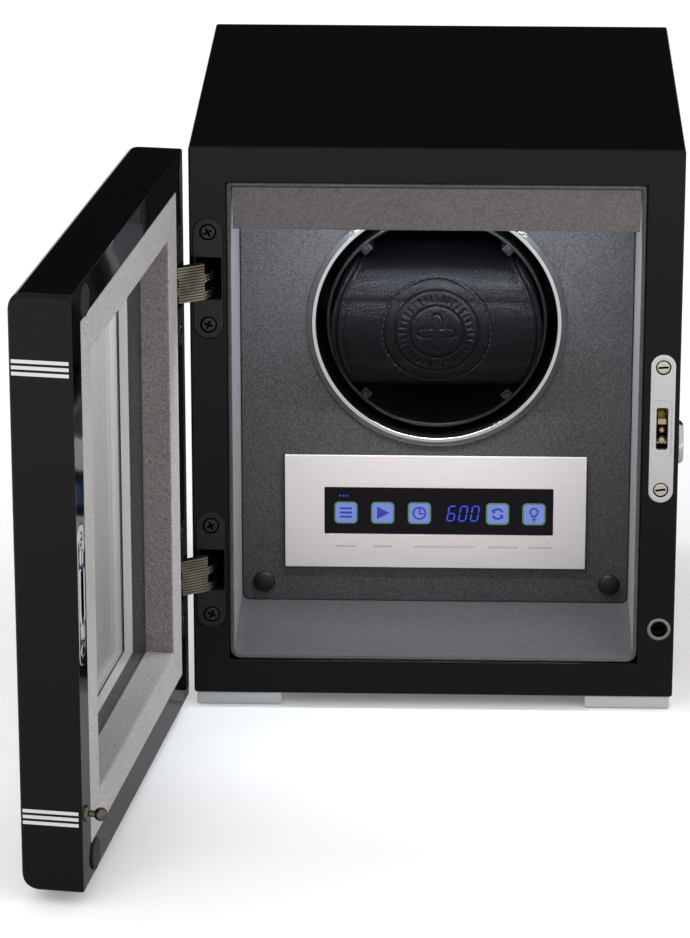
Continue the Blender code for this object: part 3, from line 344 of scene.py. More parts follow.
# Near-black for screw slots and sinks: painted shade in recesses.
RECESS_SHADE_BLACK = moulded("painted_recess_shade", (0.0008, 0.0008, 0.0008), 0.9, IOR=1.05)
BLACK_METAL = moulded("black_hardware", (0.007, 0.007, 0.007), 0.30, 2400, 0.00002, IOR=1.42)
BLACK_PLASTIC = moulded("black_moulding", (0.008, 0.008, 0.009), 0.42)
MATT_BLACK = moulded("matt_black", (0.010, 0.010, 0.010), 0.78)
REAR_BLACK = moulded("rear_panel", (0.010, 0.010, 0.011), 0.55, 900, 0.00008)
WHITE_PLASTIC = moulded("white_moulding", (0.60, 0.60, 0.57), 0.5)
RUBBER = moulded("black_rubber", (0.010, 0.010, 0.010), 0.5, 1300, 0.00003)
BOARD = moulded("circuit_board", (0.015, 0.10, 0.05), 0.45, 400)
LEATHER = leather()
THREAD = moulded("black_thread", (0.016, 0.017, 0.020), 0.45, 4000, 0.00006)
WINDOW = moulded("smoked_acrylic", (0.004, 0.003, 0.006), 0.10, 60, 0.00002, IOR=1.30)
GLASS = clear_glass()
ICON_FACE = glowing("icon_face", (0.175, 0.245, 0.64), 0.9)
ICON_EDGE = glowing("icon_edge", (0.10, 0.31, 0.04), 0.75)
ICON_MARK = glowing("icon_mark", (0.018, 0.028, 0.36), 0.85)
DIGIT_BLUE = glowing("digit_blue", (0.040, 0.075, 0.95), 0.75)
LAMP = glowing("lamp_strip", (0.80, 0.88, 1.0), 6.0, (0.8, 0.85, 0.9))
LABEL_MARK = moulded("label_mark", (0.52, 0.49, 0.48), 0.5)


# ---- outlines: functions of an offset, so that an edge can be rounded ----
def round_rect(cx, cz, width, height, radius, steps=6, low_radius=None):
    """A rectangle with round corners, grown outwards by the offset."""
    sharpest = 0.02

    def points(offset=0.0):
        half_w, half_h = width / 2 + offset, height / 2 + offset
        made = []
        for quarter, (sx, sz) in enumerate(((1, 1), (-1, 1), (-1, -1), (1, -1))):
            r = max((radius if sz > 0 or low_radius is None else low_radius) + offset, sharpest)
            x, z = cx + sx * (half_w - r), cz + sz * (half_h - r)
            for i in range(steps + 1):
                angle = radians(90 * quarter + 90 * i / steps)
                made.append((x + r * cos(angle), z + r * sin(angle)))
        return made

    return points


def rect_of(low, high, grow=0.0, radius=0.0, steps=6):
    """A round rectangle over the X and Z of a span, larger by grow on each side."""
    cx, cz = (low.x + high.x) / 2, (low.z + high.z) / 2
    return round_rect(cx, cz, high.x - low.x + 2 * grow, high.z - low.z + 2 * grow, radius, steps)


def disc(cx, cz, radius, count=32):
    """A circle, grown outwards by the offset."""
    step = 2 * pi / count

    def points(offset=0.0):
        r = radius + offset
        return [(cx + r * cos(i * step), cz + r * sin(i * step)) for i in range(count)]

    return points


def band(path, half, steps=5):
    """A ribbon of constant width along a path of points, with round ends."""

    def points(offset=0.0):
        width = half + offset
        sides = ([], [])
        for i, point in enumerate(path):
            before, after = path[max(i - 1, 0)], path[min(i + 1, len(path) - 1)]
            along = (Vector(after) - Vector(before)).normalized()
            across = Vector((-along.y, along.x)) * width
            sides[0].append(Vector(point) + across)
            sides[1].append(Vector(point) - across)
        made = []
        for side, end in ((sides[0], path[-1]), (sides[1][::-1], path[0])):
            made += [tuple(p) for p in side]
            start = Vector(side[-1]) - Vector(end)
            for i in range(1, steps):
                turn = Matrix.Rotation(-pi * i / steps, 2)
                made.append(tuple(Vector(end) + turn @ start))
        return made

    return points


def cross(reach, arm):
    """A plus sign, for a cross-head recess; it takes no offset."""
    quarter = [(reach, -arm), (reach, arm), (arm, arm)]
    made = []
    for i in range(4):
        turn = Matrix.Rotation(pi / 2 * i, 2)
        made += [tuple(turn @ Vector(p)) for p in quarter]
    return lambda offset=0.0: made


def soften(points, radius, closed=True, steps=4):
    """Round the corners of a polyline; radius is one value or one for each point."""
    radii = radius if isinstance(radius, (list, tuple)) else [radius] * len(points)
    made = []
    for i, point in enumerate(points):
        here = Vector(point)
        if (not closed and i in (0, len(points) - 1)) or radii[i] <= 0:
            made.append(tuple(here))
            continue
        before, after = Vector(points[i - 1]) - here, Vector(points[(i + 1) % len(points)]) - here
        reach = min(radii[i], before.length * 0.45, after.length * 0.45)
        first, last = here + before.normalized() * reach, here + after.normalized() * reach
        for k in range(steps + 1):
            t = k / steps
            made.append(tuple(first * (1 - t) ** 2 + here * 2 * t * (1 - t) + last * t ** 2))
    return made


# ---- mesh tools ----
def ring_of(bm, points, y):
    """A ring of corners at one y."""
    return [bm.verts.new((x, y, z)) for x, z in points]


def skin(bm, rows, closed=False):
    """Join rows of corners with faces; a row of one corner is a pole."""
    faces = []
    pairs = list(zip(rows, rows[1:]))
    if closed:
        pairs.append((rows[-1], rows[0]))
    for below, above in pairs:
        count = max(len(below), len(above))
        for i in range(count):
            j = (i + 1) % count
            corners = [below[i % len(below)], below[j % len(below)]]
            corners += [above[j % len(above)], above[i % len(above)]]
            faces.append(bm.faces.new([c for k, c in enumerate(corners) if c not in corners[:k]]))
    return faces


def inside(x, z, loops):
    """Even-odd test of a point against closed loops of corners that lie at one y."""
    odd = False
    for loop in loops:
        for a, b in zip(loop, loop[1:] + loop[:1]):
            if (a.co.z > z) != (b.co.z > z):
                if x < a.co.x + (z - a.co.z) / (b.co.z - a.co.z) * (b.co.x - a.co.x):
                    odd = not odd
    return odd


def fill(bm, loops):
    """Fill the area between flat closed loops with triangles."""
    corners = [v for loop in loops for v in loop]
    edges, start = [], 0
    for loop in loops:
        count = len(loop)
        edges += [(start + i, start + (i + 1) % count) for i in range(count)]
        start += count
    flat = [Vector((v.co.x, v.co.z)) for v in corners]
    places, _, triangles, sources, _, _ = delaunay_2d_cdt(flat, edges, [], 1, 1e-5)
    made = []
    for triangle in triangles:
        x = sum(places[i].x for i in triangle) / 3
        z = sum(places[i].y for i in triangle) / 3
        if inside(x, z, loops):
            made.append(bm.faces.new([corners[sources[i][0]] for i in triangle]))
    return made


def edge_rows(shape, y_near, y_far, edge, hole=False, far_edge=None, steps=4):
    """Outlines of an edge rounded at both ends, from the near face to the far one."""
    sign = 1 if hole else -1
    far_edge = edge if far_edge is None else far_edge
    rows = []
    for k in range(steps + 1):
        angle = pi / 2 * k / steps
        rows.append((shape(sign * edge * (1 - sin(angle))), y_near + edge * (1 - cos(angle))))
    for k in range(steps, -1, -1):
        angle = pi / 2 * k / steps
        rows.append((shape(sign * far_edge * (1 - sin(angle))), y_far - far_edge * (1 - cos(angle))))
    return rows


def pocket_rows(shape, y_face, depth, edge=0.1, steps=2):
    """Outlines of a blind pocket that goes in along +Y from a face."""
    rows = []
    for k in range(steps + 1):
        angle = pi / 2 * k / steps
        rows.append((shape(edge * (1 - sin(angle))), y_face + edge * (1 - cos(angle))))
    return rows + [(shape(0.0), y_face + depth)]


def slab(bm, outer, holes=(), near_pockets=(), far_pockets=()):
    """A plate given by rows of (outline, y): its outside, its holes, and pockets in either face."""
    near, far = [], []
    for rows in (outer, *holes):
        rings = [ring_of(bm, points, y) for points, y in rows]
        skin(bm, rings)
        near.append(rings[0])
        far.append(rings[-1])
    for group, loops in ((near_pockets, near), (far_pockets, far)):
        for rows in group:
            rings = [ring_of(bm, points, y) for points, y in rows]
            skin(bm, rings)
            bm.faces.new(rings[-1])
            loops.append(rings[0])
    fill(bm, near)
    fill(bm, far)


def plate(bm, shape, y_near, y_far, edge, holes=(), hole_edge=None, pockets=()):
    """A slab with plain rounded edges, through holes and near-side pockets of (shape, depth)."""
    hole_edge = edge if hole_edge is None else hole_edge
    slab(
        bm,
        edge_rows(shape, y_near, y_far, edge),
        [edge_rows(hole, y_near, y_far, hole_edge, hole=True) for hole in holes],
        [pocket_rows(pocket, y_near, depth) for pocket, depth in pockets],
    )


def revolve(bm, profile, centre, axis="Y", count=96, closed=False):
    """Turn (radius, along) points round an X or Y axis through a centre."""
    rings = []
    step = 2 * pi / count
    for radius, along in profile:
        points = [(0.0, 0.0)] if radius <= 0 else [
            (radius * cos(i * step), radius * sin(i * step)) for i in range(count)
        ]
        ring = []
        for u, v in points:
            u, v = u + centre[0], v + centre[1]
            ring.append(bm.verts.new((along, u, v) if axis == "X" else (u, along, v)))
        rings.append(ring)
    return skin(bm, rings, closed)


def block(bm, low, high, radius, segments=3):
    """A box with all its edges rounded."""
    size = Vector(high) - Vector(low)
    made = bmesh.ops.create_cube(bm, size=1.0)["verts"]
    bmesh.ops.scale(bm, vec=size, verts=made)
    bmesh.ops.translate(bm, vec=(Vector(low) + Vector(high)) / 2, verts=made)
    edges = list({edge for v in made for edge in v.link_edges})
    bmesh.ops.bevel(bm, geom=edges, offset=radius, segments=segments, profile=0.5, affect="EDGES")


def capped_skin(bm, rows):
    """Join rows of (x, y, z) points with faces and close both ends."""
    rings = [[bm.verts.new(point) for point in row] for row in rows]
    skin(bm, rings)
    bm.faces.new(rings[0])
    bm.faces.new(rings[-1])


def extrude_x(bm, section, x_low, x_high):
    """Run a (y, z) section along X and close its ends."""
    capped_skin(bm, [[(x, y, z) for y, z in section] for x in (x_low, x_high)])


def sheet(bm, outline, y, holes=()):
    """A thin flat piece with square edges."""
    film = 0.1
    new = fill(bm, [ring_of(bm, points, y) for points in (outline, *holes)])
    grown = bmesh.ops.extrude_face_region(bm, geom=new)
    moved = [item for item in grown["geom"] if isinstance(item, bmesh.types.BMVert)]
    bmesh.ops.translate(bm, verts=moved, vec=(0, film, 0))


def move_new(bm, before, matrix):
    """Move the corners of a bmesh that weren't in it before."""
    bmesh.ops.transform(bm, matrix=matrix, verts=[v for v in bm.verts if v not in before])


def piece(name, bm, material, body="case", place=CASE, replaces=(), smooth=32):
    """Make an object of a bmesh, put it in place and let it ride on its body."""
    bmesh.ops.recalc_face_normals(bm, faces=bm.faces)
    mesh = bpy.data.meshes.new(name)
    bm.to_mesh(mesh)
    bm.free()
    mesh.transform(place)
    if place.to_3x3().determinant() < 0:
        mesh.flip_normals()
    mesh.shade_smooth()
    mesh.set_sharp_from_angle(angle=radians(smooth))
    mesh.materials.append(material)
    made = bpy.data.objects.new(name, mesh)
    bpy.context.scene.collection.objects.link(made)
    made.modifiers.new("weighted", "WEIGHTED_NORMAL").keep_sharp = True
    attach(made, body)
    if replaces:
        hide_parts(*([replaces] if isinstance(replaces, str) else replaces))
    return made


def shaped(name, material, slot, tool, *values, body="case", place=CASE, replaces=(), smooth=32, **named):
    """Make a piece with a single call of a mesh tool."""
    bm = bmesh.new()
    tool(bm, *values, **named)
    return piece(name, bm, material, body, place, replaces, smooth)


# ---- screws ----
def second_material(made, place, material, chosen):
    """Give the faces that chosen(centre, normal) picks, in place's own axes, a second material."""
    made.data.materials.append(material)
    back = place.inverted()
    turn = back.to_3x3()
    for polygon in made.data.polygons:
        if chosen(back @ polygon.center, (turn @ polygon.normal).normalized()):
            polygon.material_index = 1


def screw_heads(name, places, radius, material, body, place, proud, turns=(20, 65), slotted=False):
    """Countersunk screw heads with cross or straight recesses, in one piece."""
    if slotted:
        recess = round_rect(0, 0, radius * 1.56, radius * 0.34, radius * 0.05, 1)
    else:
        recess = cross(radius * 0.62, radius * 0.15)
    bm = bmesh.new()
    for index, (x, z) in enumerate(places):
        before = set(bm.verts)
        rim = edge_rows(disc(0, 0, radius, 40), -proud, 1.2, 0.45, far_edge=0.05)
        slab(bm, rim, near_pockets=[pocket_rows(recess, -proud, 1.0, 0.0)])
        turn = Matrix.Rotation(radians(turns[index % len(turns)]), 4, "Y")
        move_new(bm, before, Matrix.Translation((x, 0, z)) @ turn)
    made = piece(name, bm, material, body, place)
    # The deep part of each recess and the head's sides below its face are painted near-black: painted shade.
    second_material(made, place, RECESS_SHADE_BLACK, lambda centre, normal: centre.y > 0.35 - proud)


def shade_sinks(made, place, screws, radius, face_y):
    """Paint shade into the round recesses that the screws of a plate sit in, with a near-black material."""

    def sunk(centre, normal):
        near = min(hypot(centre.x - x, centre.z - z) for x, z in screws)
        return near < radius and face_y + 0.08 < centre.y < face_y + 0.6

    second_material(made, place, RECESS_SHADE_BLACK, sunk)


# ---- the case ----
def make_case():
    """The lacquered shell with its pockets for hinges, lock and catch, and the feet."""
    low, high = span("case_top")
    bottom_low, bottom_high = span("case_bottom")
    room_tall = low.z - bottom_high.z
    room = round_rect(0, bottom_high.z + room_tall / 2, 2 * span("case_side_right")[0].x, room_tall, 0.5, 3)
    low.z = bottom_low.z
    pockets = [pocket_rows(seat_outline(f"hinge_leaf_case_{level}"), 0, LEAF_SEAT) for level in LEVELS]
    pockets.append(pocket_rows(seat_outline("lock_plate"), 0, LOCK_SEAT))
    catch_radius, catch_deep = 4.5, 11.6
    pockets.append(pocket_rows(disc(*middle("catch_socket"), catch_radius, 40), 0, catch_deep, 0.2))
    outer = edge_rows(rect_of(low, high, 0, 1.2), 0, high.y, 0.8, steps=6)
    walls = ("case_top", "case_bottom", "case_side_left", "case_side_right")
    shaped("case_shell", LACQUER, "black_lacquer", slab, outer, [edge_rows(room, 0, high.y, 0.6, hole=True)],
           pockets, replaces=walls)
    for row in ("front", "rear"):
        for side in SIDES:
            make_foot(f"foot_{row}_{side}")


def seat_outline(node, place=CASE, gap=0.12):
    """Outline of the seat of a round-ended plate, a little larger than the plate."""
    low, high = span(node, place)
    return rect_of(low, high, gap, (high.x - low.x) / 2 + gap, 12)


def make_foot(node):
    """A satin block on a thin dark pad."""
    low, high = span(node)
    pad, inset = 0.35, 1.6
    shaped(node + "_block", FOOT_METAL, "satin_foot", block, low + Vector((0, 0, pad)),
           high + Vector((0, 0, 0.25)), 0.7, 4, replaces=node)
    shaped(node + "_pad", MATT_BLACK, "rubber", block, low + Vector((inset, inset, 0)),
           (high.x - inset, high.y - inset, low.z + 1), 0.2)


def make_lining():
    """One suede lining round the opening: both sides, the floor and a thin strip along the top."""
    nodes = ("lining_left", "lining_right", "lining_floor")
    left, right, floor = (span(node) for node in nodes)
    half, board = right[1].x, floor[1].z - floor[0].z
    low, top = floor[0].z, left[1].z
    tall = top - LINING_TOP - low - board
    outer = round_rect(0, (low + top) / 2, 2 * half, top - low, 1.2, low_radius=4.5)
    inner = round_rect(0, low + board + tall / 2, 2 * (half - board), tall, 0.8, low_radius=3.2)
    made = shaped("suede_lining", FLOOR_SUEDE, "case_suede", plate, outer, left[0].y, left[1].y, 0.6, [inner],
                  replaces=nodes)
    walls = half - board - 0.5
    # The side walls take the darker copy of the suede: painted shade.
    second_material(made, CASE, WALL_SUEDE_PAINTED_SHADE, lambda centre, normal: abs(centre.x) > walls)


def make_pelmet():
    """The suede valance with its ceiling board, and the lamp strip behind it."""
    low, high = span("light_pelmet")
    board, ceiling, gap = 4.0, 1.8, 0.45
    top, half = high.z - LINING_TOP - gap, high.x - gap
    section = [
        (low.y, top), (low.y, low.z), (low.y + board, low.z), (low.y + board, top - ceiling),
        (high.y, top - ceiling), (high.y, top),
    ]
    shaped("pelmet", PELMET_SUEDE, "pelmet_suede", extrude_x, soften(section, [0.6, 1.0, 0.8, 0, 0, 0]),
           -half, half, replaces="light_pelmet")
    low, high = span("led_strip")
    shaped("lamp_board", WHITE_PLASTIC, "white_plastic", block, (low.x, low.y, low.z + 1.4), high, 0.3,
           replaces="led_strip")
    chips, half_x, half_y = 14, 1.75, 1.4
    pitch, cy = (high.x - low.x) / chips, (low.y + high.y) / 2
    bm = bmesh.new()
    for i in range(chips):
        cx = low.x + pitch * (i + 0.5)
        block(bm, (cx - half_x, cy - half_y, low.z), (cx + half_x, cy + half_y, low.z + 1.5), 0.3, 2)
    piece("lamp_chips", bm, LAMP)


# ---- fascia and controls ----
def make_fascia():
    """The suede inner front, the bright ring round its opening and two rubber plugs."""
    low, high = span("fascia_panel")
    hub = middle("winding_cup")
    ring_low, ring_high = span("bezel_ring")
    lip, face = (ring_high.x - ring_low.x) / 2, ring_low.y
    wall, bore = lip - 2.5, lip - 3.95
    holes = [disc(*hub, lip - 2.0, 128), rect_of(*span("display_window"), 0.75, 0.5, 2)]
    outline = rect_of(low, high, 0, 3.0, 8)
    shaped("suede_fascia", FASCIA_SUEDE, "case_suede", plate, outline, low.y, high.y, 0.6, holes,
           replaces="fascia_panel")
    ring = [
        (lip, face + 1.8), (lip, face + 1.15), (lip - 2.0, face + 0.15), (lip - 2.25, face),
        (lip - 3.7, face), (bore, face + 0.3), (bore, face + 2.2), (wall, face + 2.2), (wall, face + 1.8),
    ]
    ring = soften(ring, [0.1, 0.3, 0.12, 0.2, 0.3, 0.2, 0, 0, 0])
    shaped("bezel", RING_METAL, "polished_ring", revolve, ring, hub, count=192, closed=True,
           replaces="bezel_ring", smooth=40)
    sleeve = [(bore, face + 2.25), (wall, face + 2.25), (wall, ring_high.y), (bore, ring_high.y)]
    shaped("bezel_sleeve", BLACK_PLASTIC, "black_plastic", revolve, sleeve, hub, count=128, closed=True)
    for side in SIDES:
        node, rise = f"fascia_plug_{side}", 2.2
        low, high = span(node)
        radius = (high.x - low.x) / 2
        dome = [(radius * sin(a), low.y + rise * (1 - cos(a))) for a in map(radians, range(0, 81, 8))]
        dome += [(radius, low.y + rise), (radius - 0.2, low.y + rise + 0.1), (radius - 1.5, high.y)]
        shaped(f"plug_{side}", RUBBER, "rubber", revolve, dome + [(0, high.y)], middle(node), count=48,
               replaces=node, smooth=50)


def make_controls():
    """The brushed plate, its engraved marks, the window and the lit symbols behind it."""
    low, high = span("control_plate")
    window = span("display_window")
    outline = rect_of(low, high, 0, 0.5, 4)
    shaped("brushed_plate", PLATE_METAL, "brushed_plate", plate, outline, low.y, high.y, 0.3,
           [rect_of(*window, 0.15, 0.3, 2)], 0.15, replaces="control_plate")
    shaped("window", WINDOW, "smoked_window", block, *window, 0.15, 2, replaces="display_window")
    marks_z = window[0].z - 5.6
    bm = bmesh.new()
    for x, length in MARKS:
        sheet(bm, round_rect(x, marks_z, length, 1.0, 0.25, 2)(), low.y - FILM_PROUD)
    piece("plate_marks", bm, LABEL_MARK)

    face = window[0].y - FILM_PROUD
    faces, edges, marks = bmesh.new(), bmesh.new(), bmesh.new()
    glyphs = (menu_glyph, start_glyph, dial_glyph, turns_glyph, lamp_glyph)
    for x, glyph in zip(ICON_PLACES, glyphs):
        square = round_rect(x, ICON_Z, ICON_SIZE - 1.0, ICON_SIZE - 1.0, 1.3, 4)
        sheet(faces, square(), face)
        sheet(edges, square(0.55), face, [square(0.12)])
        for outline, holes in glyph(x, ICON_Z):
            sheet(marks, outline, face - 0.03, holes)
    piece("icon_faces", faces, ICON_FACE)
    piece("icon_edges", edges, ICON_EDGE)
    piece("icon_marks", marks, ICON_MARK)
    bm = bmesh.new()
    for i, digit in enumerate("600"):
        seven_segments(bm, digit, DIGITS_X + (i - 1) * DIGIT_PITCH, ICON_Z, face)
    for dx in (-2.5, -1.0, 0.5):
        sheet(bm, disc(ICON_PLACES[0] + dx, ICON_Z + 7.6, 0.4, 10)(), face)
    piece("digits", bm, DIGIT_BLUE)


def bar(x, z, width, height, radius=0.2):
    """A small solid bar of a symbol."""
    return round_rect(x, z, width, height, radius, 2)(), ()


def on_circle(x, z, radius, angles):
    """Points on a circle at the given angles."""
    return [(x + radius * cos(a), z + radius * sin(a)) for a in angles]


def menu_glyph(x, z):
    """Three bars: choose a setting."""
    return [bar(x, z + dz, 5.2, 0.95, 0.3) for dz in (-1.9, 0, 1.9)]


def start_glyph(x, z):
    """A triangle: start and stop."""
    r = 2.9
    return [(soften([(x - r * 0.85, z - r), (x + r, z), (x - r * 0.85, z + r)], 0.3), ())]


def dial_glyph(x, z):
    """A ring with two hands: turns in a day."""
    ring = (disc(x, z, 3.0)(), [disc(x, z, 2.2)()])
    return [ring, bar(x + 0.1, z + 0.9, 0.7, 2.4), bar(x + 0.8, z - 0.25, 2.0, 0.7)]


def turns_glyph(x, z):
    """Two arc arrows: direction of turning."""
    made = []
    inner, outer, barb = 1.75, 2.65, 0.75
    for start in (20, 200):
        arc = [radians(start + 118 * i / 10) for i in range(11)]
        made.append((on_circle(x, z, outer, arc) + on_circle(x, z, inner, reversed(arc)), ()))
        made.append((on_circle(x, z, inner - barb, arc[-1:]) + on_circle(x, z, outer + barb, arc[-1:])
                     + on_circle(x, z, 2.2, [radians(start + 118 + 38)]), ()))
    return made


def lamp_glyph(x, z):
    """A lamp bulb over its cap: inside light."""
    middle_z, shrink = z + 1.0, 0.62
    line = on_circle(x, middle_z, 2.0, map(radians, range(-50, 231, 20)))
    line += [(x - 0.9, z - 1.5), (x + 0.9, z - 1.5)]
    hole = [(x + (px - x) * shrink, middle_z + (pz - middle_z) * shrink) for px, pz in line]
    return [(line, [hole]), bar(x, z - 2.2, 1.9, 0.55), bar(x, z - 3.0, 1.3, 0.55)]


def seven_segments(bm, digit, x, z, face):
    """One slanted seven-segment digit."""
    half_w, half_t, thick, lean = 1.45, 3.3, 0.62, 0.16
    corners = {(sx, sz): Vector((sx * half_w, sz * half_t)) for sx in (-1, 1) for sz in (-1, 0, 1)}
    ends = {
        "a": ((-1, 1), (1, 1)), "g": ((-1, 0), (1, 0)), "d": ((-1, -1), (1, -1)), "f": ((-1, 0), (-1, 1)),
        "b": ((1, 0), (1, 1)), "e": ((-1, -1), (-1, 0)), "c": ((1, -1), (1, 0)),
    }
    for letter in SEGMENTS[digit]:
        start, end = (corners[key] for key in ends[letter])
        along = (end - start).normalized()
        across = Vector((-along.y, along.x)) * thick / 2
        start, end = start + along * thick * 0.28, end - along * thick * 0.28
        tip = along * thick / 2
        line = [start, start + tip + across, end - tip + across]
        line += [end, end - tip - across, start + tip - across]
        sheet(bm, [(x + p.x + lean * p.y, z + p.y) for p in line], face)


# ---- the winding cup and its cuff ----
def make_drum():
    """Fixed tub, turning cup with its rim and lugs."""
    hub = middle("winding_cup")
    low, high = span("drum_housing")
    inner, wall, floor, bearing = 52.5, 2.2, 2.5, 6.3
    outer = (high.x - low.x) / 2
    profile = [
        (inner, low.y), (outer, low.y), (outer, low.y + floor), (inner + wall, low.y + floor),
        (inner + wall, high.y), (bearing, high.y), (bearing, high.y - floor), (inner, high.y - floor),
    ]
    shaped("drum_tub", BLACK_PLASTIC, "black_plastic", revolve, profile, hub, closed=True,
           replaces="drum_housing")

    low, high = span("winding_cup")
    front, outer = low.y, 46.1
    inner, floor_y, back = outer - 1.2, front + 55.5, front + 58
    profile = [
        (inner, floor_y), (inner, front + 0.6), (inner + 0.3, front), (outer + 0.1, front),
        (outer + 0.5, front + 0.5), (outer + 0.5, front + 1.6), (outer, front + 2.2), (outer, back),
        (9, back), (9, high.y), (3.3, high.y), (3.3, floor_y),
    ]
    bm = bmesh.new()
    revolve(bm, soften(profile, [0, 0, 0.3, 0.3, 0.3, 0.3] + [0] * 6), hub, count=160, closed=True)
    for angle in LUG_ANGLES:
        before = set(bm.verts)
        block(bm, (inner - 3.2, 0.4, -2.3), (inner + 0.9, 40, 2.3), 0.5)
        block(bm, (inner - 2.2, -0.6, -1.2), (inner + 0.7, 3, 1.2), 0.4)
        turn = Matrix.Rotation(radians(-angle), 4, "Y")
        move_new(bm, before, Matrix.Translation((hub[0], front, hub[1])) @ turn)
    for side in (-1, 1):
        cz = hub[1] + side * 35.0
        block(bm, (-17, floor_y - 5, cz - 3.4), (17, floor_y + 0.5, cz + 3.4), 0.6)
        for x in (-10.5, 0.0, 10.5):
            block(bm, (x - 0.8, floor_y - 6.5, cz - 3.0), (x + 0.8, floor_y, cz + 3.0), 0.3)
    piece("cup_shell", bm, BLACK_PLASTIC, "cup", replaces="winding_cup")


def cuff_front(z, front):
    """How far back the cuff's front lies at a height from its middle."""
    if abs(z) < CUFF_FLAT:
        return front + CUFF_BULGE * (z / CUFF_FLAT) ** 2
    over = min((abs(z) - CUFF_FLAT) / CUFF_CORNER, 1.0)
    return front + CUFF_BULGE + CUFF_CORNER * 1.1 * (1 - cos(asin(over))) + 0.5 * over


def cuff_section(half, front, back, count):
    """Evenly spaced (y, z) points round the cuff's section, starting at the middle of the front."""
    flat, corner_back = half - CUFF_CORNER, 9
    line = [(front + CUFF_BULGE * (i / 40) ** 2, flat * i / 40) for i in range(41)]
    for i in range(1, 31):
        angle = pi / 2 * i / 30
        y = front + CUFF_BULGE + CUFF_CORNER * 1.1 * (1 - cos(angle)) + 0.5 * sin(angle)
        line.append((y, flat + CUFF_CORNER * sin(angle)))
    for i in range(21):
        angle = pi / 2 * i / 20
        line.append((back - corner_back * (1 - sin(angle)), half - corner_back * (1 - cos(angle))))
    line.append((back, 0))
    full = line + [(y, -z) for y, z in reversed(line[1:-1])]
    return even_spacing(full, count)


def even_spacing(points, count):
    """Resample a closed polyline at equal steps."""
    closed = [Vector(p) for p in points] + [Vector(points[0])]
    lengths = [0.0]
    for first, second in zip(closed, closed[1:]):
        lengths.append(lengths[-1] + (second - first).length)
    made, k = [], 0
    for i in range(count):
        goal = lengths[-1] * i / count
        while lengths[k + 1] < goal:
            k += 1
        share = (goal - lengths[k]) / max(lengths[k + 1] - lengths[k], 1e-9)
        made.append(closed[k].lerp(closed[k + 1], share))
    return made


def ridge(distance, centre, width):
    """A smooth ridge of height 1 round a centre line."""
    t = abs(distance - centre) / width
    return 0.0 if t >= 1 else (0.5 + 0.5 * cos(pi * t))


def roundel_relief(x, z):
    """Depth of the tooling on the front; negative is pressed in."""
    radius = hypot(x, z)
    if radius > ROUNDEL:
        return 0.0
    angle = atan2(z, x)
    relief = -0.5 * ridge(radius, STITCH_RADIUS, 1.0)
    for groove in (17.6, 11.2, 5.4 + 2.6 * cos(4 * angle)):
        relief -= 0.65 * ridge(radius, groove, 0.75)
    relief += 0.25 * (1 if radius < 21 else max(0.0, 1 - (radius - 21) / 1.5))
    ticks = 36
    off = abs((angle * ticks / (2 * pi) + 0.5) % 1 - 0.5) * 2 * pi / ticks * radius
    if 12.9 < radius < 16.0:
        relief -= 0.55 * ridge(off, 0.0, 0.55)
    return relief


def make_cuff():
    """Padded leather cuff: a bulging front cut to the cup's circle, double-piped at both ends."""
    low, high = span("cushion_cover")
    cx, cz = middle("winding_cup")
    limit = (high.x - low.x) / 2
    rounds, columns = 400, 150
    section = cuff_section((high.z - low.z) / 2, low.y, high.y, rounds)
    near = [0, 0.25, 0.55, 0.9, 1.25, 1.6, 2.0, 2.4, 2.8, 3.15, 3.5, 3.9, 4.4, 5.2, 6.5]
    rng = random.Random(7)
    puckers = [rng.uniform(0.6, 1.3) for _ in range(64)]
    rows = [(-1, distance) for distance in near]
    rows += [(0, -1 + 2 * i / (columns + 1)) for i in range(1, columns + 1)]
    rows += [(1, distance) for distance in reversed(near)]
    bm = bmesh.new()
    rings = []
    for side, value in rows:
        ring = []
        for index, point in enumerate(section):
            y, z = point
            reach = sqrt(max(limit * limit - z * z, 0.0))
            x = side * (reach - value) if side else value * (reach - near[-1])
            from_end = reach - abs(x)
            ahead = section[(index + 1) % rounds] - section[index - 1]
            normal = Vector((-ahead.y, ahead.x)).normalized()
            if normal.dot(Vector((y - (low.y + high.y) / 2, z))) < 0:
                normal = -normal
            # Puckers fade in from the piping; the ends pull in a little between two piped edges.
            lift = -0.9 * max(0.0, 1 - from_end / 1.1) ** 2
            for height, centre, width in PIPING:
                lift += height * ridge(from_end, centre, width)
            along = index * 300 / rounds
            lift += 0.11 * puckers[int(along // 5) % 64] * sin(along * 0.62) * ridge(from_end, 5.5, 4.5)
            lift -= 0.7 * (1 - from_end / limit) ** 4
            if normal.x < -0.3 and abs(z) < ROUNDEL:  # only the front is tooled
                lift += roundel_relief(x, z)
            spot = point + normal * lift
            ring.append(bm.verts.new((cx + x, spot.x, cz + spot.y)))
        rings.append(ring)
    skin(bm, rings)
    for ring in (rings[0], rings[-1]):
        mid = sum((v.co for v in ring), Vector()) / len(ring)
        inset = [bm.verts.new(v.co.lerp(mid, 0.12)) for v in ring]
        skin(bm, [ring, inset])
        bm.faces.new(inset)
    cover = piece("leather_cuff", bm, LEATHER, "cuff", replaces="cushion_cover", smooth=60)

    # A round of short stitches in the roundel's outer groove.
    bm = bmesh.new()
    stitches = 52
    for i in range(stitches):
        angle = 2 * pi * i / stitches
        x, z = STITCH_RADIUS * cos(angle), STITCH_RADIUS * sin(angle)
        turn = Matrix.Rotation(-angle, 4, "Y") @ Matrix.Diagonal((0.30, 0.30, 1.0, 1))
        turn = Matrix.Translation((cx + x, cuff_front(z, low.y) + 0.12, cz + z)) @ turn
        bmesh.ops.create_uvsphere(bm, u_segments=8, v_segments=6, radius=1.0, matrix=turn)
    piece("cuff_stitches", bm, THREAD, "cuff", smooth=60)


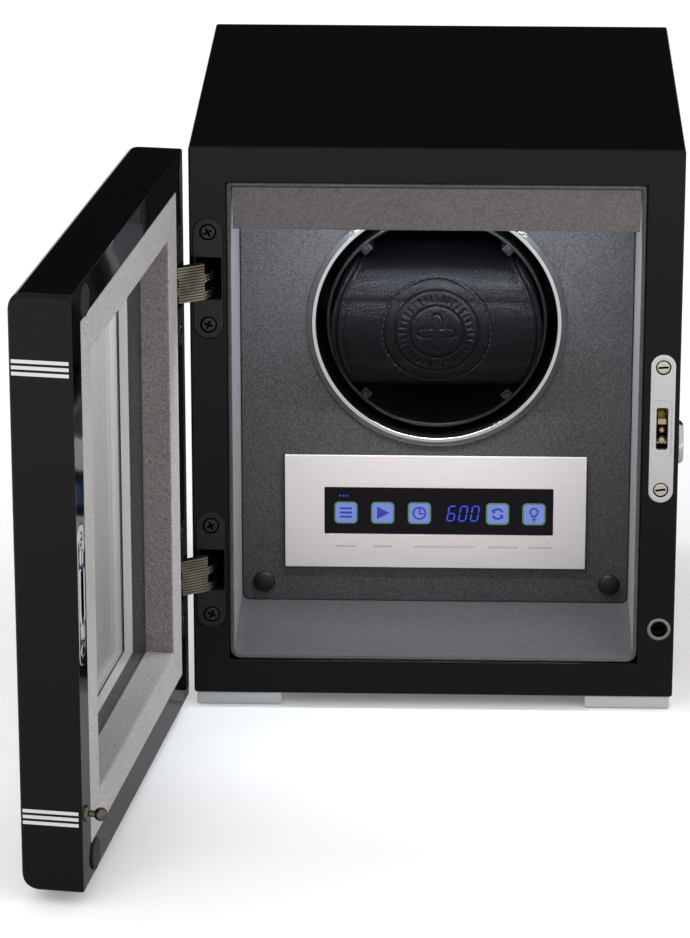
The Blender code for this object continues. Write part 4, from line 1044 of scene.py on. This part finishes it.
# ---- hinges ----
def make_hinges():
    """Both hinges: a leaf in the case, a leaf in the door, and the links between them."""
    axes = [Vector(joints[f"{side}_links_turn"]["pos_m"]) for side in ("case", "door")]
    pivots = [(CASE.inverted() @ axis).xy for axis in axes]
    for level in LEVELS:
        make_leaf(f"hinge_leaf_case_{level}", "case", CASE, CASE)
        make_leaf(f"hinge_leaf_door_{level}", "door", DOOR_FACE, DOOR)
        make_links(level, *pivots)


def make_leaf(node, body, face, place):
    """A black leaf with its link cup behind, and two cross-head screws."""
    low, high = span(node, place)
    cx, cz = middle(node, place)
    thick, cup_end = high.y - low.y, 17.0
    cup_wide, cup_tall, screw_reach, head, sink = 10.7, 18, 19.6, 2.95, 3.5
    opening = round_rect(LINK_CUP_X, cz, cup_wide, cup_tall, 1.0, 4)
    screws = [(cx, cz + side * screw_reach) for side in (-1, 1)]
    bm = bmesh.new()
    sinks = [(disc(x, z, sink, 36), 0.45) for x, z in screws]
    plate(bm, rect_of(low, high, 0, (high.x - low.x) / 2, 14), 0, thick, 0.3, [opening], 0.15, sinks)
    cup = ((0.3, thick), (0.3, cup_end), (-0.2, cup_end), (-0.2, thick))
    rings = [ring_of(bm, opening(grow), y) for grow, y in cup]
    for pair in (rings[:2], rings[2:], rings[::3]):
        skin(bm, pair)
    bm.faces.new(rings[1])
    bm.faces.new(rings[2])
    made = piece(node + "_plate", bm, BLACK_METAL, body, face, node)
    shade_sinks(made, face, screws, sink + 0.1, 0)
    screw_heads(node + "_screws", screws, head, SCREW_BLACK, body, face, 0.15)


def make_links(level, case_pivot, door_pivot):
    """Two packs of flat links: groups from the door and from the case lie in turn on the stack."""
    packs = {"case": f"hinge_links_case_{level}", "door": f"hinge_links_door_{level}"}
    cz = (span(packs["case"])[0].z + span(packs["door"])[1].z) / 2
    pitch, thick, half, pin_radius, pin_proud = 1.19, 0.93, 1.5, 0.75, 0.08
    groups = {"case": ((4, 7), (10, 13)), "door": ((0, 4), (7, 10))}
    top = cz + pitch * groups["case"][1][1] / 2
    paths = {
        "case": [case_pivot, case_pivot.lerp(ELBOW, 0.5), ELBOW, door_pivot.lerp(ELBOW, 0.18)],
        "door": [door_pivot, door_pivot.lerp(ELBOW, 0.5), ELBOW],
    }
    for side, path in paths.items():
        outline = band(path, half)
        bm = bmesh.new()
        for first, last in groups[side]:
            for index in range(first, last):
                high = top - pitch * index
                slab(bm, edge_rows(outline, high - thick, high, 0.12, steps=2))
            # The pins keep to their own group, so the other pack can pass them as the door shuts.
            low, high = top - pitch * (last - 1) - thick, top - pitch * first
            for pin in (path[0], ELBOW):
                slab(bm, edge_rows(disc(*pin, pin_radius, 16), low - pin_proud, high + pin_proud, 0.05))
        piece(f"links_{side}_{level}", bm, AGED, f"{side}_links", CASE @ SWAP_YZ,
              packs[side])


# ---- lock and catch ----
def make_lock():
    """The lock plate pressed in round its slot, the brass works behind it, and a matt black block behind them
    as painted shade.
    """
    low, high = span("lock_plate")
    cx, cz = middle("lock_plate")
    screw_reach, head, sink = 26.5, 2.75, 3.1
    slot = round_rect(cx, cz, 4.7, 18, 0.9, 4)
    pressed = round_rect(cx, cz, 7.6, 24.5, 2.0)
    screws = [(cx, cz + side * screw_reach) for side in (-1, 1)]
    outer = edge_rows(rect_of(low, high, 0, (high.x - low.x) / 2, 16), low.y, high.y, 0.45, steps=5)
    sinks = [pocket_rows(disc(x, z, sink, 36), low.y, 0.5, 0.3) for x, z in screws]
    sunk = low.y + 0.3
    step = ((0.3, low.y), (0.12, low.y + 0.05), (-0.1, sunk), (-0.1, high.y))
    bm = bmesh.new()
    slab(bm, outer, [[(pressed(grow), y) for grow, y in step]], sinks)
    plate(bm, lambda offset=0.0: pressed(offset - 0.1), sunk, high.y, 0.02, [slot], 0.3)
    made = piece("lock_front", bm, LOCK_METAL, replaces="lock_plate")
    shade_sinks(made, CASE, screws, sink + 0.1, low.y)
    screw_heads("lock_screws", screws, head, LOCK_SCREW, "case", CASE, 0.05, (-8, -4), slotted=True)
    make_hook()
    bm = bmesh.new()
    nose = [(0, 1.6), (1.3, 1.8), (1.9, 3.2), (1.9, 8), (0, 8)]
    revolve(bm, soften(nose, [0, 0.3, 0.5, 0.2, 0], False), (cx, cz - 5.6), count=40)
    dome = [(0, 2.6), (1.0, 2.8), (1.5, 3.6), (1.5, 8), (0, 8)]
    revolve(bm, soften(dome, [0, 0.4, 0.4, 0.2, 0], False), (cx, cz - 1.5), count=32)
    piece("lock_works", bm, BRASS)
    # A matt black block behind the slot and the works: painted shade.
    shaped("lock_painted_shade", MATT_BLACK, "rubber", block, (cx - 2.3, 9.5, cz - 8.9), (cx + 2.3, 10.5, cz - 0.2),
           0.3)


def make_hook():
    """The curved hook bolt, with rounded edges, a bright nose and its hub."""
    low, high = span("lock_hook")
    pivot = CASE.inverted() @ Vector(joints["hook_turn"]["pos_m"])
    swing = radians(joints["hook_turn"]["range_deg"][1])
    inner, outer, hub = 9.4, 11.6, 2.6
    back, web, tip = (radians(angle) - swing for angle in (-50, -38, 10.4))
    steps = []
    for radius, start, end, count in ((outer, back, tip, 24), (inner, tip, web, 18),
                                      (hub, radians(-105), radians(210), 28)):
        steps += [(radius, start + (end - start) * i / count) for i in range(count + 1)]
    line = [Vector((pivot.y - r * cos(a), pivot.z + r * sin(a))) for r, a in steps]
    count = len(line)
    area = sum(line[i - 1].x * line[i].y - line[i].x * line[i - 1].y for i in range(count))
    sign = 1 if area > 0 else -1
    inward = []
    for i in range(count):
        along = (line[(i + 1) % count] - line[i - 1]).normalized()
        inward.append(Vector((-along.y, along.x)) * sign)
    edge, bevel = 0.3, 0.09
    rows = []
    for x, inset in ((low.x, edge), (low.x + bevel, bevel), (low.x + edge, 0), (high.x - edge, 0),
                     (high.x - bevel, bevel), (high.x, edge)):
        rows.append([(x, *(p + n * inset)) for p, n in zip(line, inward)])
    shaped("hook_bolt", BRASS, "brass", capped_skin, rows, body="lock_bolt", replaces="lock_hook", smooth=40)


def make_key_parts():
    """The stepped chrome rose on the side wall, and the cylinder with its key way."""
    low, high = span("key_escutcheon")
    centre, radius = ((low.y + high.y) / 2, (low.z + high.z) / 2), (high.y - low.y) / 2
    side, outside, bore = span("case_side_right")[1].x, high.x, 4.3
    profile = [
        (bore, side - 2), (5, side - 2), (5, side + 0.1), (radius, side + 0.1), (radius, side + 1.0),
        (radius - 1.2, outside), (radius - 2.6, outside - 0.35), (bore + 1.0, outside - 0.35),
        (bore, outside - 0.1),
    ]
    shaped("key_rose", CHROME, "chrome", revolve, soften(profile, [0, 0, 0, 0.2, 0.6, 0.6, 0.5, 0.4, 0.3]),
           centre, "X", closed=True, replaces="key_escutcheon", smooth=45)
    low, high = span("lock_barrel")
    face = edge_rows(disc(*centre, (high.y - low.y) / 2, 64), -high.x, -low.x, 0.35)
    key_way = pocket_rows(round_rect(*centre, 1.0, 5.4, 0.3, 3), -high.x, 6)
    shaped("key_cylinder_face", CHROME, "brass", slab, face, (), [key_way], body="key_cylinder",
           place=CASE @ Matrix.Rotation(pi / 2, 4, "Z"), replaces="lock_barrel")


def make_catch():
    """The socket of the ball catch, with its bead, and a matt black sleeve inside as painted shade."""
    low, high = span("catch_socket")
    centre, radius = middle("catch_socket"), (high.x - low.x) / 2
    profile = [
        (0, high.y), (4.1, high.y), (4.1, 0), (radius, -0.1), (radius, -0.5), (radius - 0.5, low.y),
        (3.7, low.y), (3.35, low.y + 0.4), (3.0, 2.2), (3.5, 3.5), (3.5, 9.5), (0, 9.5),
    ]
    shaped("catch_cup", NICKEL, "antique_nickel", revolve,
           soften(profile, [0, 0, 0, 0.1, 0.3, 0.3, 0.2, 0.3, 0.6, 0.4, 0, 0], False), centre, count=64,
           replaces="catch_socket", smooth=45)
    # A matt black sleeve and floor inside the socket: painted shade in the hole.
    inside_profile = [(0, 9.3), (3.4, 9.3), (3.4, 3.2), (3.2, 3.2), (3.2, 9.1), (0, 9.1)]
    shaped("catch_painted_shade", MATT_BLACK, "rubber", revolve, inside_profile, centre, count=48, smooth=45)


# ---- the door ----
def make_door():
    """The lacquered frame with its pockets, and all that is on the door."""
    front = span("door_lock_stile", DOOR)[0].y
    half = span("door_lock_stile", DOOR)[1].x
    low_z, high_z = span("door_bottom_rail", DOOR)[0].z, span("door_top_rail", DOOR)[1].z
    cz, tall = (low_z + high_z) / 2, high_z - low_z
    glass = span("door_glass", DOOR)[1]
    opening_x, opening_z = glass.x + 0.3, glass.z - cz + 0.3
    big, small, back_edge, steps = 6.5, 1.8, 0.8, 10
    rows = []
    for k in range(steps + 1):
        angle = pi / 2 * k / steps
        drop, y = big * (1 - sin(angle)), big * (1 - cos(angle))
        side = 0.0 if y >= small else small - sqrt(small * small - (small - y) ** 2)
        rows.append((round_rect(0, cz, 2 * (half - side), tall - 2 * drop, small, 4)(), front + y))
    outline = round_rect(0, cz, 2 * half, tall, small, 4)
    rows += edge_rows(outline, front, DOOR_BACK, back_edge)[-5:]
    seat = span("door_liner", DOOR)[1].x + 0.12
    opening = round_rect(0, cz, 2 * opening_x, 2 * opening_z, 0.4, 3)
    liner_seat = round_rect(0, cz, 2 * seat, 2 * (seat - opening_x + opening_z), 0.4, 3)
    ledge = DOOR_BACK - 1.2
    hole = [
        (opening(0.4), front), (opening(0.1), front + 0.1), (opening(), front + 0.4), (opening(), ledge),
        (liner_seat(), ledge), (liner_seat(), DOOR_BACK - 0.2), (liner_seat(0.1), DOOR_BACK),
    ]
    seats = [(seat_outline(f"hinge_leaf_door_{level}", DOOR), LEAF_SEAT) for level in LEVELS]
    seats.append((seat_outline("lock_striker", DOOR), 5.4))
    seats.append((disc(*middle("catch_stud", DOOR), 3.3), 6.3))
    sunk = [pocket_rows(shape, 0, depth) for shape, depth in seats]
    pockets = [[(points, DOOR_BACK - y) for points, y in rows_in] for rows_in in sunk]
    bars = ("door_top_rail", "door_bottom_rail", "door_hinge_stile", "door_lock_stile")
    shaped("door_shell", LACQUER, "black_lacquer", slab, rows, [hole], (), pockets, body="door", place=DOOR,
           replaces=bars)
    make_door_trim(opening_x, opening_z, cz)
    make_pinstripes(half, front)
    make_striker()
    make_door_studs()


def frame_bars(bm, section, half_x, half_z, cz, seam=0.1):
    """Four mitred bars round the opening, with a hairline seam at each corner."""
    corners = ((-1, -1), (1, -1), (1, 1), (-1, 1))
    for i in range(4):
        first, last = corners[i], corners[(i + 1) % 4]
        rows = []
        for corner, other in ((first, last), (last, first)):
            along = Vector((other[0] - corner[0], 0, other[1] - corner[1])).normalized() * seam
            rows.append([
                Vector((corner[0] * (half_x + out), y, cz + corner[1] * (half_z + out))) + along
                for out, y in section
            ])
        capped_skin(bm, rows)


def make_door_trim(half_x, half_z, cz):
    """Suede liner, the dark band between it and the glass, and the metal trim."""
    opening = (half_x, half_z, cz)
    low, high = span("door_liner", DOOR)
    wide, seat = high.x - half_x, DOOR_BACK - 0.9
    section = [(-0.3, low.y), (-0.3, seat), (wide, seat), (wide, high.y), (-2.0, high.y), (-2.0, low.y)]
    section = soften(section, [0, 0, 0, 0.6, 1.3, 0.8])
    made = shaped("suede_liner", DOOR_SUEDE, "door_suede", frame_bars, section, *opening, body="door",
                  place=DOOR, replaces="door_liner")
    # On the hinge side the liner's inner face gets a darker copy of the suede as painted shade.
    second_material(made, DOOR, SHADED_SUEDE, lambda centre, normal: centre.x < 0 and normal.x > 0.75)
    near, far = (corner.y for corner in span("glazing_trim", DOOR))
    section = [(-0.02, far + 0.1), (-0.02, low.y - 0.1), (-0.6, low.y - 0.1), (-0.6, far + 0.1)]
    shaped("reveal_band", REVEAL_SUEDE, "door_suede", frame_bars, section, *opening, 0.0, body="door",
           place=DOOR)
    section = soften([(-0.3, near), (-0.3, far), (-1.5, far), (-1.5, near)], [0, 0.2, 0.5, 0.2])
    shaped("bright_trim", TRIM_METAL, "polished_ring", frame_bars, section, *opening, 0.03, body="door",
           place=DOOR, replaces="glazing_trim")


def make_pinstripes(half, front):
    """Three bright lines in two groups, let into the outer faces of both stiles."""
    bm = bmesh.new()
    proud, deep = 0.04, 0.25
    for x in (-half - proud, half - deep):
        for group_z in STRIPE_GROUPS:
            for row in (-1, 0, 1):
                z = group_z + row * STRIPE_PITCH
                block(bm, (x, front + 1.15, z - STRIPE_TALL / 2),
                      (x + proud + deep, DOOR_BACK - 1.35, z + STRIPE_TALL / 2), 0.03, 1)
    piece("pinstripes", bm, STRIPE_METAL, "door", DOOR)


def make_striker():
    """The slotted striker on the door's inner face, its screws and a matt black sheet behind it as painted
    shade.
    """
    low, high = span("lock_striker", DOOR)
    cx, cz = middle("lock_striker", DOOR)
    face_y, back_y = -0.2, 1.4
    screw_reach, head, sink, small_slot_reach = 22, 2.6, 3.0, 14.7
    screws = [(cx, cz + side * screw_reach) for side in (-1, 1)]
    slots = [round_rect(cx, cz, 5.0, 20, 1.0, 4)]
    slots += [round_rect(cx, cz + side * small_slot_reach, 1.6, 4.6, 0.7, 4) for side in (-1, 1)]
    sinks = [pocket_rows(disc(x, z, sink), face_y, 0.4) for x, z in screws]
    outer = edge_rows(rect_of(low, high, 0, (high.x - low.x) / 2, 14), face_y, back_y, 0.5)
    lip = ((0.9, face_y), (0.75, face_y - 0.35), (0.3, face_y - 0.45), (0.0, face_y - 0.1), (0.0, back_y))
    holes = [[(slot(grow), y) for grow, y in lip] for slot in slots]
    shaped("striker", CHROME, "chrome", slab, outer, holes, sinks, body="door", place=DOOR_FACE,
           replaces="lock_striker")
    screw_heads("striker_screws", screws, head, CHROME, "door", DOOR_FACE, 0.35)
    # A matt black sheet behind the slots: painted shade.
    shaped("striker_painted_shade", MATT_BLACK, "rubber", block, (cx - 4.4, 5.0, cz - 19), (cx + 4.4, 5.3, cz + 19),
           0.1, 1, body="door", place=DOOR_FACE)


def make_door_studs():
    """Ball stud and bumpers, on the door's inner face."""
    tip, ball, neck = span("catch_stud", DOOR)[1].y - DOOR_BACK, 2.65, 1.3
    profile = [(0, 6), (3.0, 6), (3.0, -0.7), (2.5, -1.2), (neck, -1.7), (neck, -3.4)]
    profile += [(ball * sin(a), -tip + ball * (1 + cos(a))) for a in map(radians, range(30, 180, 10))]
    shaped("ball_stud", AGED, "antique_nickel", revolve, profile + [(0, -tip)], middle("catch_stud", DOOR),
           count=48, body="door", place=DOOR_FACE, replaces="catch_stud", smooth=45)
    for level in LEVELS:
        node = f"door_bumper_{level}"
        low, high = span(node, DOOR)
        radius, proud = (high.x - low.x) / 2, high.y - DOOR_BACK
        profile = soften([(0, 0), (radius, 0), (radius, -proud), (0, -proud)], [0, 0, 0.4, 0], False)
        shaped(f"bumper_{level}", RUBBER, "rubber", revolve, profile, middle(node, DOOR), count=64,
               body="door", place=DOOR_FACE, replaces=node, smooth=45)


# ---- the back ----
def make_rear():
    """The vented rear cover with its screws, and the power inlet."""
    low, high = span("rear_cover")
    cz = (low.z + high.z) / 2
    socket = middle("dc_socket")
    hub_x, hub_z = middle("winding_cup")
    vent_pitch, vent_wide, vent_tall = 8, 46, 3
    vents = [round_rect(hub_x, hub_z + i * vent_pitch, vent_wide, vent_tall, vent_tall / 2, 5)
             for i in range(-3, 4)]
    outline = rect_of(low, high, 0, 1.0, 4)
    shaped("rear_panel_board", REAR_BLACK, "rear_panel", plate, outline, low.y, high.y, 0.5,
           vents + [disc(*socket, 5.3, 40)], 0.3, replaces="rear_cover")
    inset = 7
    places = [(sx * (high.x - inset), z) for sx in (-1, 1) for z in (low.z + inset, cz, high.z - inset)]
    rear_face = CASE @ Matrix.Translation((0, high.y, 0)) @ MIRROR_Y
    screw_heads("rear_screws", places, 3.0, BLACK_METAL, "case", rear_face, 0.5,
                (15, 50, 80))
    profile = [
        (0, 16.8), (5, 16.8), (5, -0.2), (4.6, -0.6), (3.2, -0.6),
        (2.8, -0.2), (2.8, 11), (1.0, 11), (1.0, 0.6), (0, 0.2),
    ]
    shaped("power_inlet", BLACK_PLASTIC, "black_plastic", revolve, profile, socket, count=48,
           place=CASE @ Matrix.Translation((0, high.y - 0.3, 0)) @ MIRROR_Y, replaces="dc_socket")


def dress_cad_nodes():
    """Give the CAD nodes that stay their materials."""
    kept = {
        "door_glass": GLASS, "cushion_core": BLACK_PLASTIC, "lock_case": STEEL, "control_board": BOARD,
        "mechanism_plate": STEEL, "spindle_bearing": BRASS, "gear_motor": STEEL, "drive_belt": RUBBER,
        "spindle": STEEL, "cup_pulley": WHITE_PLASTIC, "motor_pulley": WHITE_PLASTIC, "motor_shaft": STEEL,
    }
    for node, material in kept.items():
        slots = frame["nodes"][node].data.materials
        if slots:
            slots[0] = material
        else:
            slots.append(material)


# ---- studio ----
def area_light(name, place, target, size, power, colour, glossy):
    """A rectangular lamp that looks at a target."""
    data = bpy.data.lights.new(name, "AREA")
    data.shape = "RECTANGLE"
    data.size, data.size_y = size
    data.energy = power
    data.color = colour
    made = bpy.data.objects.new(name, data)
    bpy.context.scene.collection.objects.link(made)
    made.location = place
    made.rotation_euler = (Vector(target) - Vector(place)).to_track_quat("-Z", "Y").to_euler()
    made.visible_glossy = glossy


def make_studio():
    """White floor, even light, and what the polished pieces mirror."""
    bm = bmesh.new()
    bmesh.ops.create_grid(bm, x_segments=1, y_segments=1, size=14.0)
    mesh = bpy.data.meshes.new("studio_floor")
    bm.to_mesh(mesh)
    bm.free()
    mesh.materials.append(floor_paint())
    floor = bpy.data.objects.new("studio_floor", mesh)
    bpy.context.scene.collection.objects.link(floor)

    world = bpy.data.worlds.new("studio")
    bpy.context.scene.world = world
    world.use_nodes = True
    tree = world.node_tree
    tree.nodes.clear()
    plain = add_node(tree, "Background", {"Color": (1, 1, 1, 1), "Strength": 1.0})
    # What the lacquer mirrors: a white room with a dark curtain hung at the back.
    direction = add_node(tree, "TexCoord", {}).outputs["Generated"]
    curtain = Vector((0, 1, 0.42)).normalized()
    towards = add_node(tree, "VectorMath", {0: direction, 1: curtain}, operation="DOT_PRODUCT")
    ramp = add_node(tree, "ValToRGB", {"Fac": towards.outputs["Value"]})
    room = ((0.72, (0.62, 0.625, 0.635, 1)), (0.86, (0.012, 0.012, 0.014, 1)))
    for stop, (position, colour) in zip(ramp.color_ramp.elements, room):
        stop.position, stop.color = position, colour
    mirrored = add_node(tree, "Background", {"Color": ramp.outputs["Color"]})
    glossy = add_node(tree, "LightPath", {}).outputs["Is Glossy Ray"]
    mix = add_node(tree, "MixShader", {"Fac": glossy, 1: plain.outputs[0], 2: mirrored.outputs[0]})
    add_node(tree, "OutputWorld", {"Surface": mix.outputs[0]})

    low, high = cad_box
    mid = (low + high) / 2
    area_light("key", mid + Vector((-0.9, -1.6, 1.5)), mid, (1.2, 1.2), 9, (1.0, 0.985, 0.96), False)
    area_light("fill", mid + Vector((1.4, -1.3, 0.9)), mid, (1.2, 1.2), 7, (0.95, 0.97, 1.0), False)
    lamp_low, lamp_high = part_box("led_strip")
    lamp = (lamp_low + lamp_high) / 2
    spot = Vector((lamp.x, lamp.y, lamp_low.z - 0.002))
    aim = spot + Vector((0, 0.25, -1.0))
    area_light("lamp_glow", spot, aim, (0.135, 0.006), 0.30, (0.82, 0.88, 1.0), True)


def make_camera():
    """The photo's view: a long lens, looking down a little."""
    data = bpy.data.cameras.new("camera")
    data.lens = CAMERA_LENS
    data.sensor_width = 36
    data.clip_end = 60
    camera = bpy.data.objects.new("camera", data)
    bpy.context.scene.collection.objects.link(camera)
    camera.location = CASE @ Vector(CAMERA_PLACE)
    camera.rotation_euler = (radians(90 - CAMERA_PITCH), 0, radians(CAMERA_YAW))
    bpy.context.scene.camera = camera
    bpy.context.scene.view_settings.view_transform = "Standard"


make_camera()
make_studio()
make_case()
make_lining()
make_pelmet()
make_fascia()
make_controls()
make_drum()
make_cuff()
make_hinges()
make_lock()
make_key_parts()
make_catch()
make_door()
make_rear()
dress_cad_nodes()
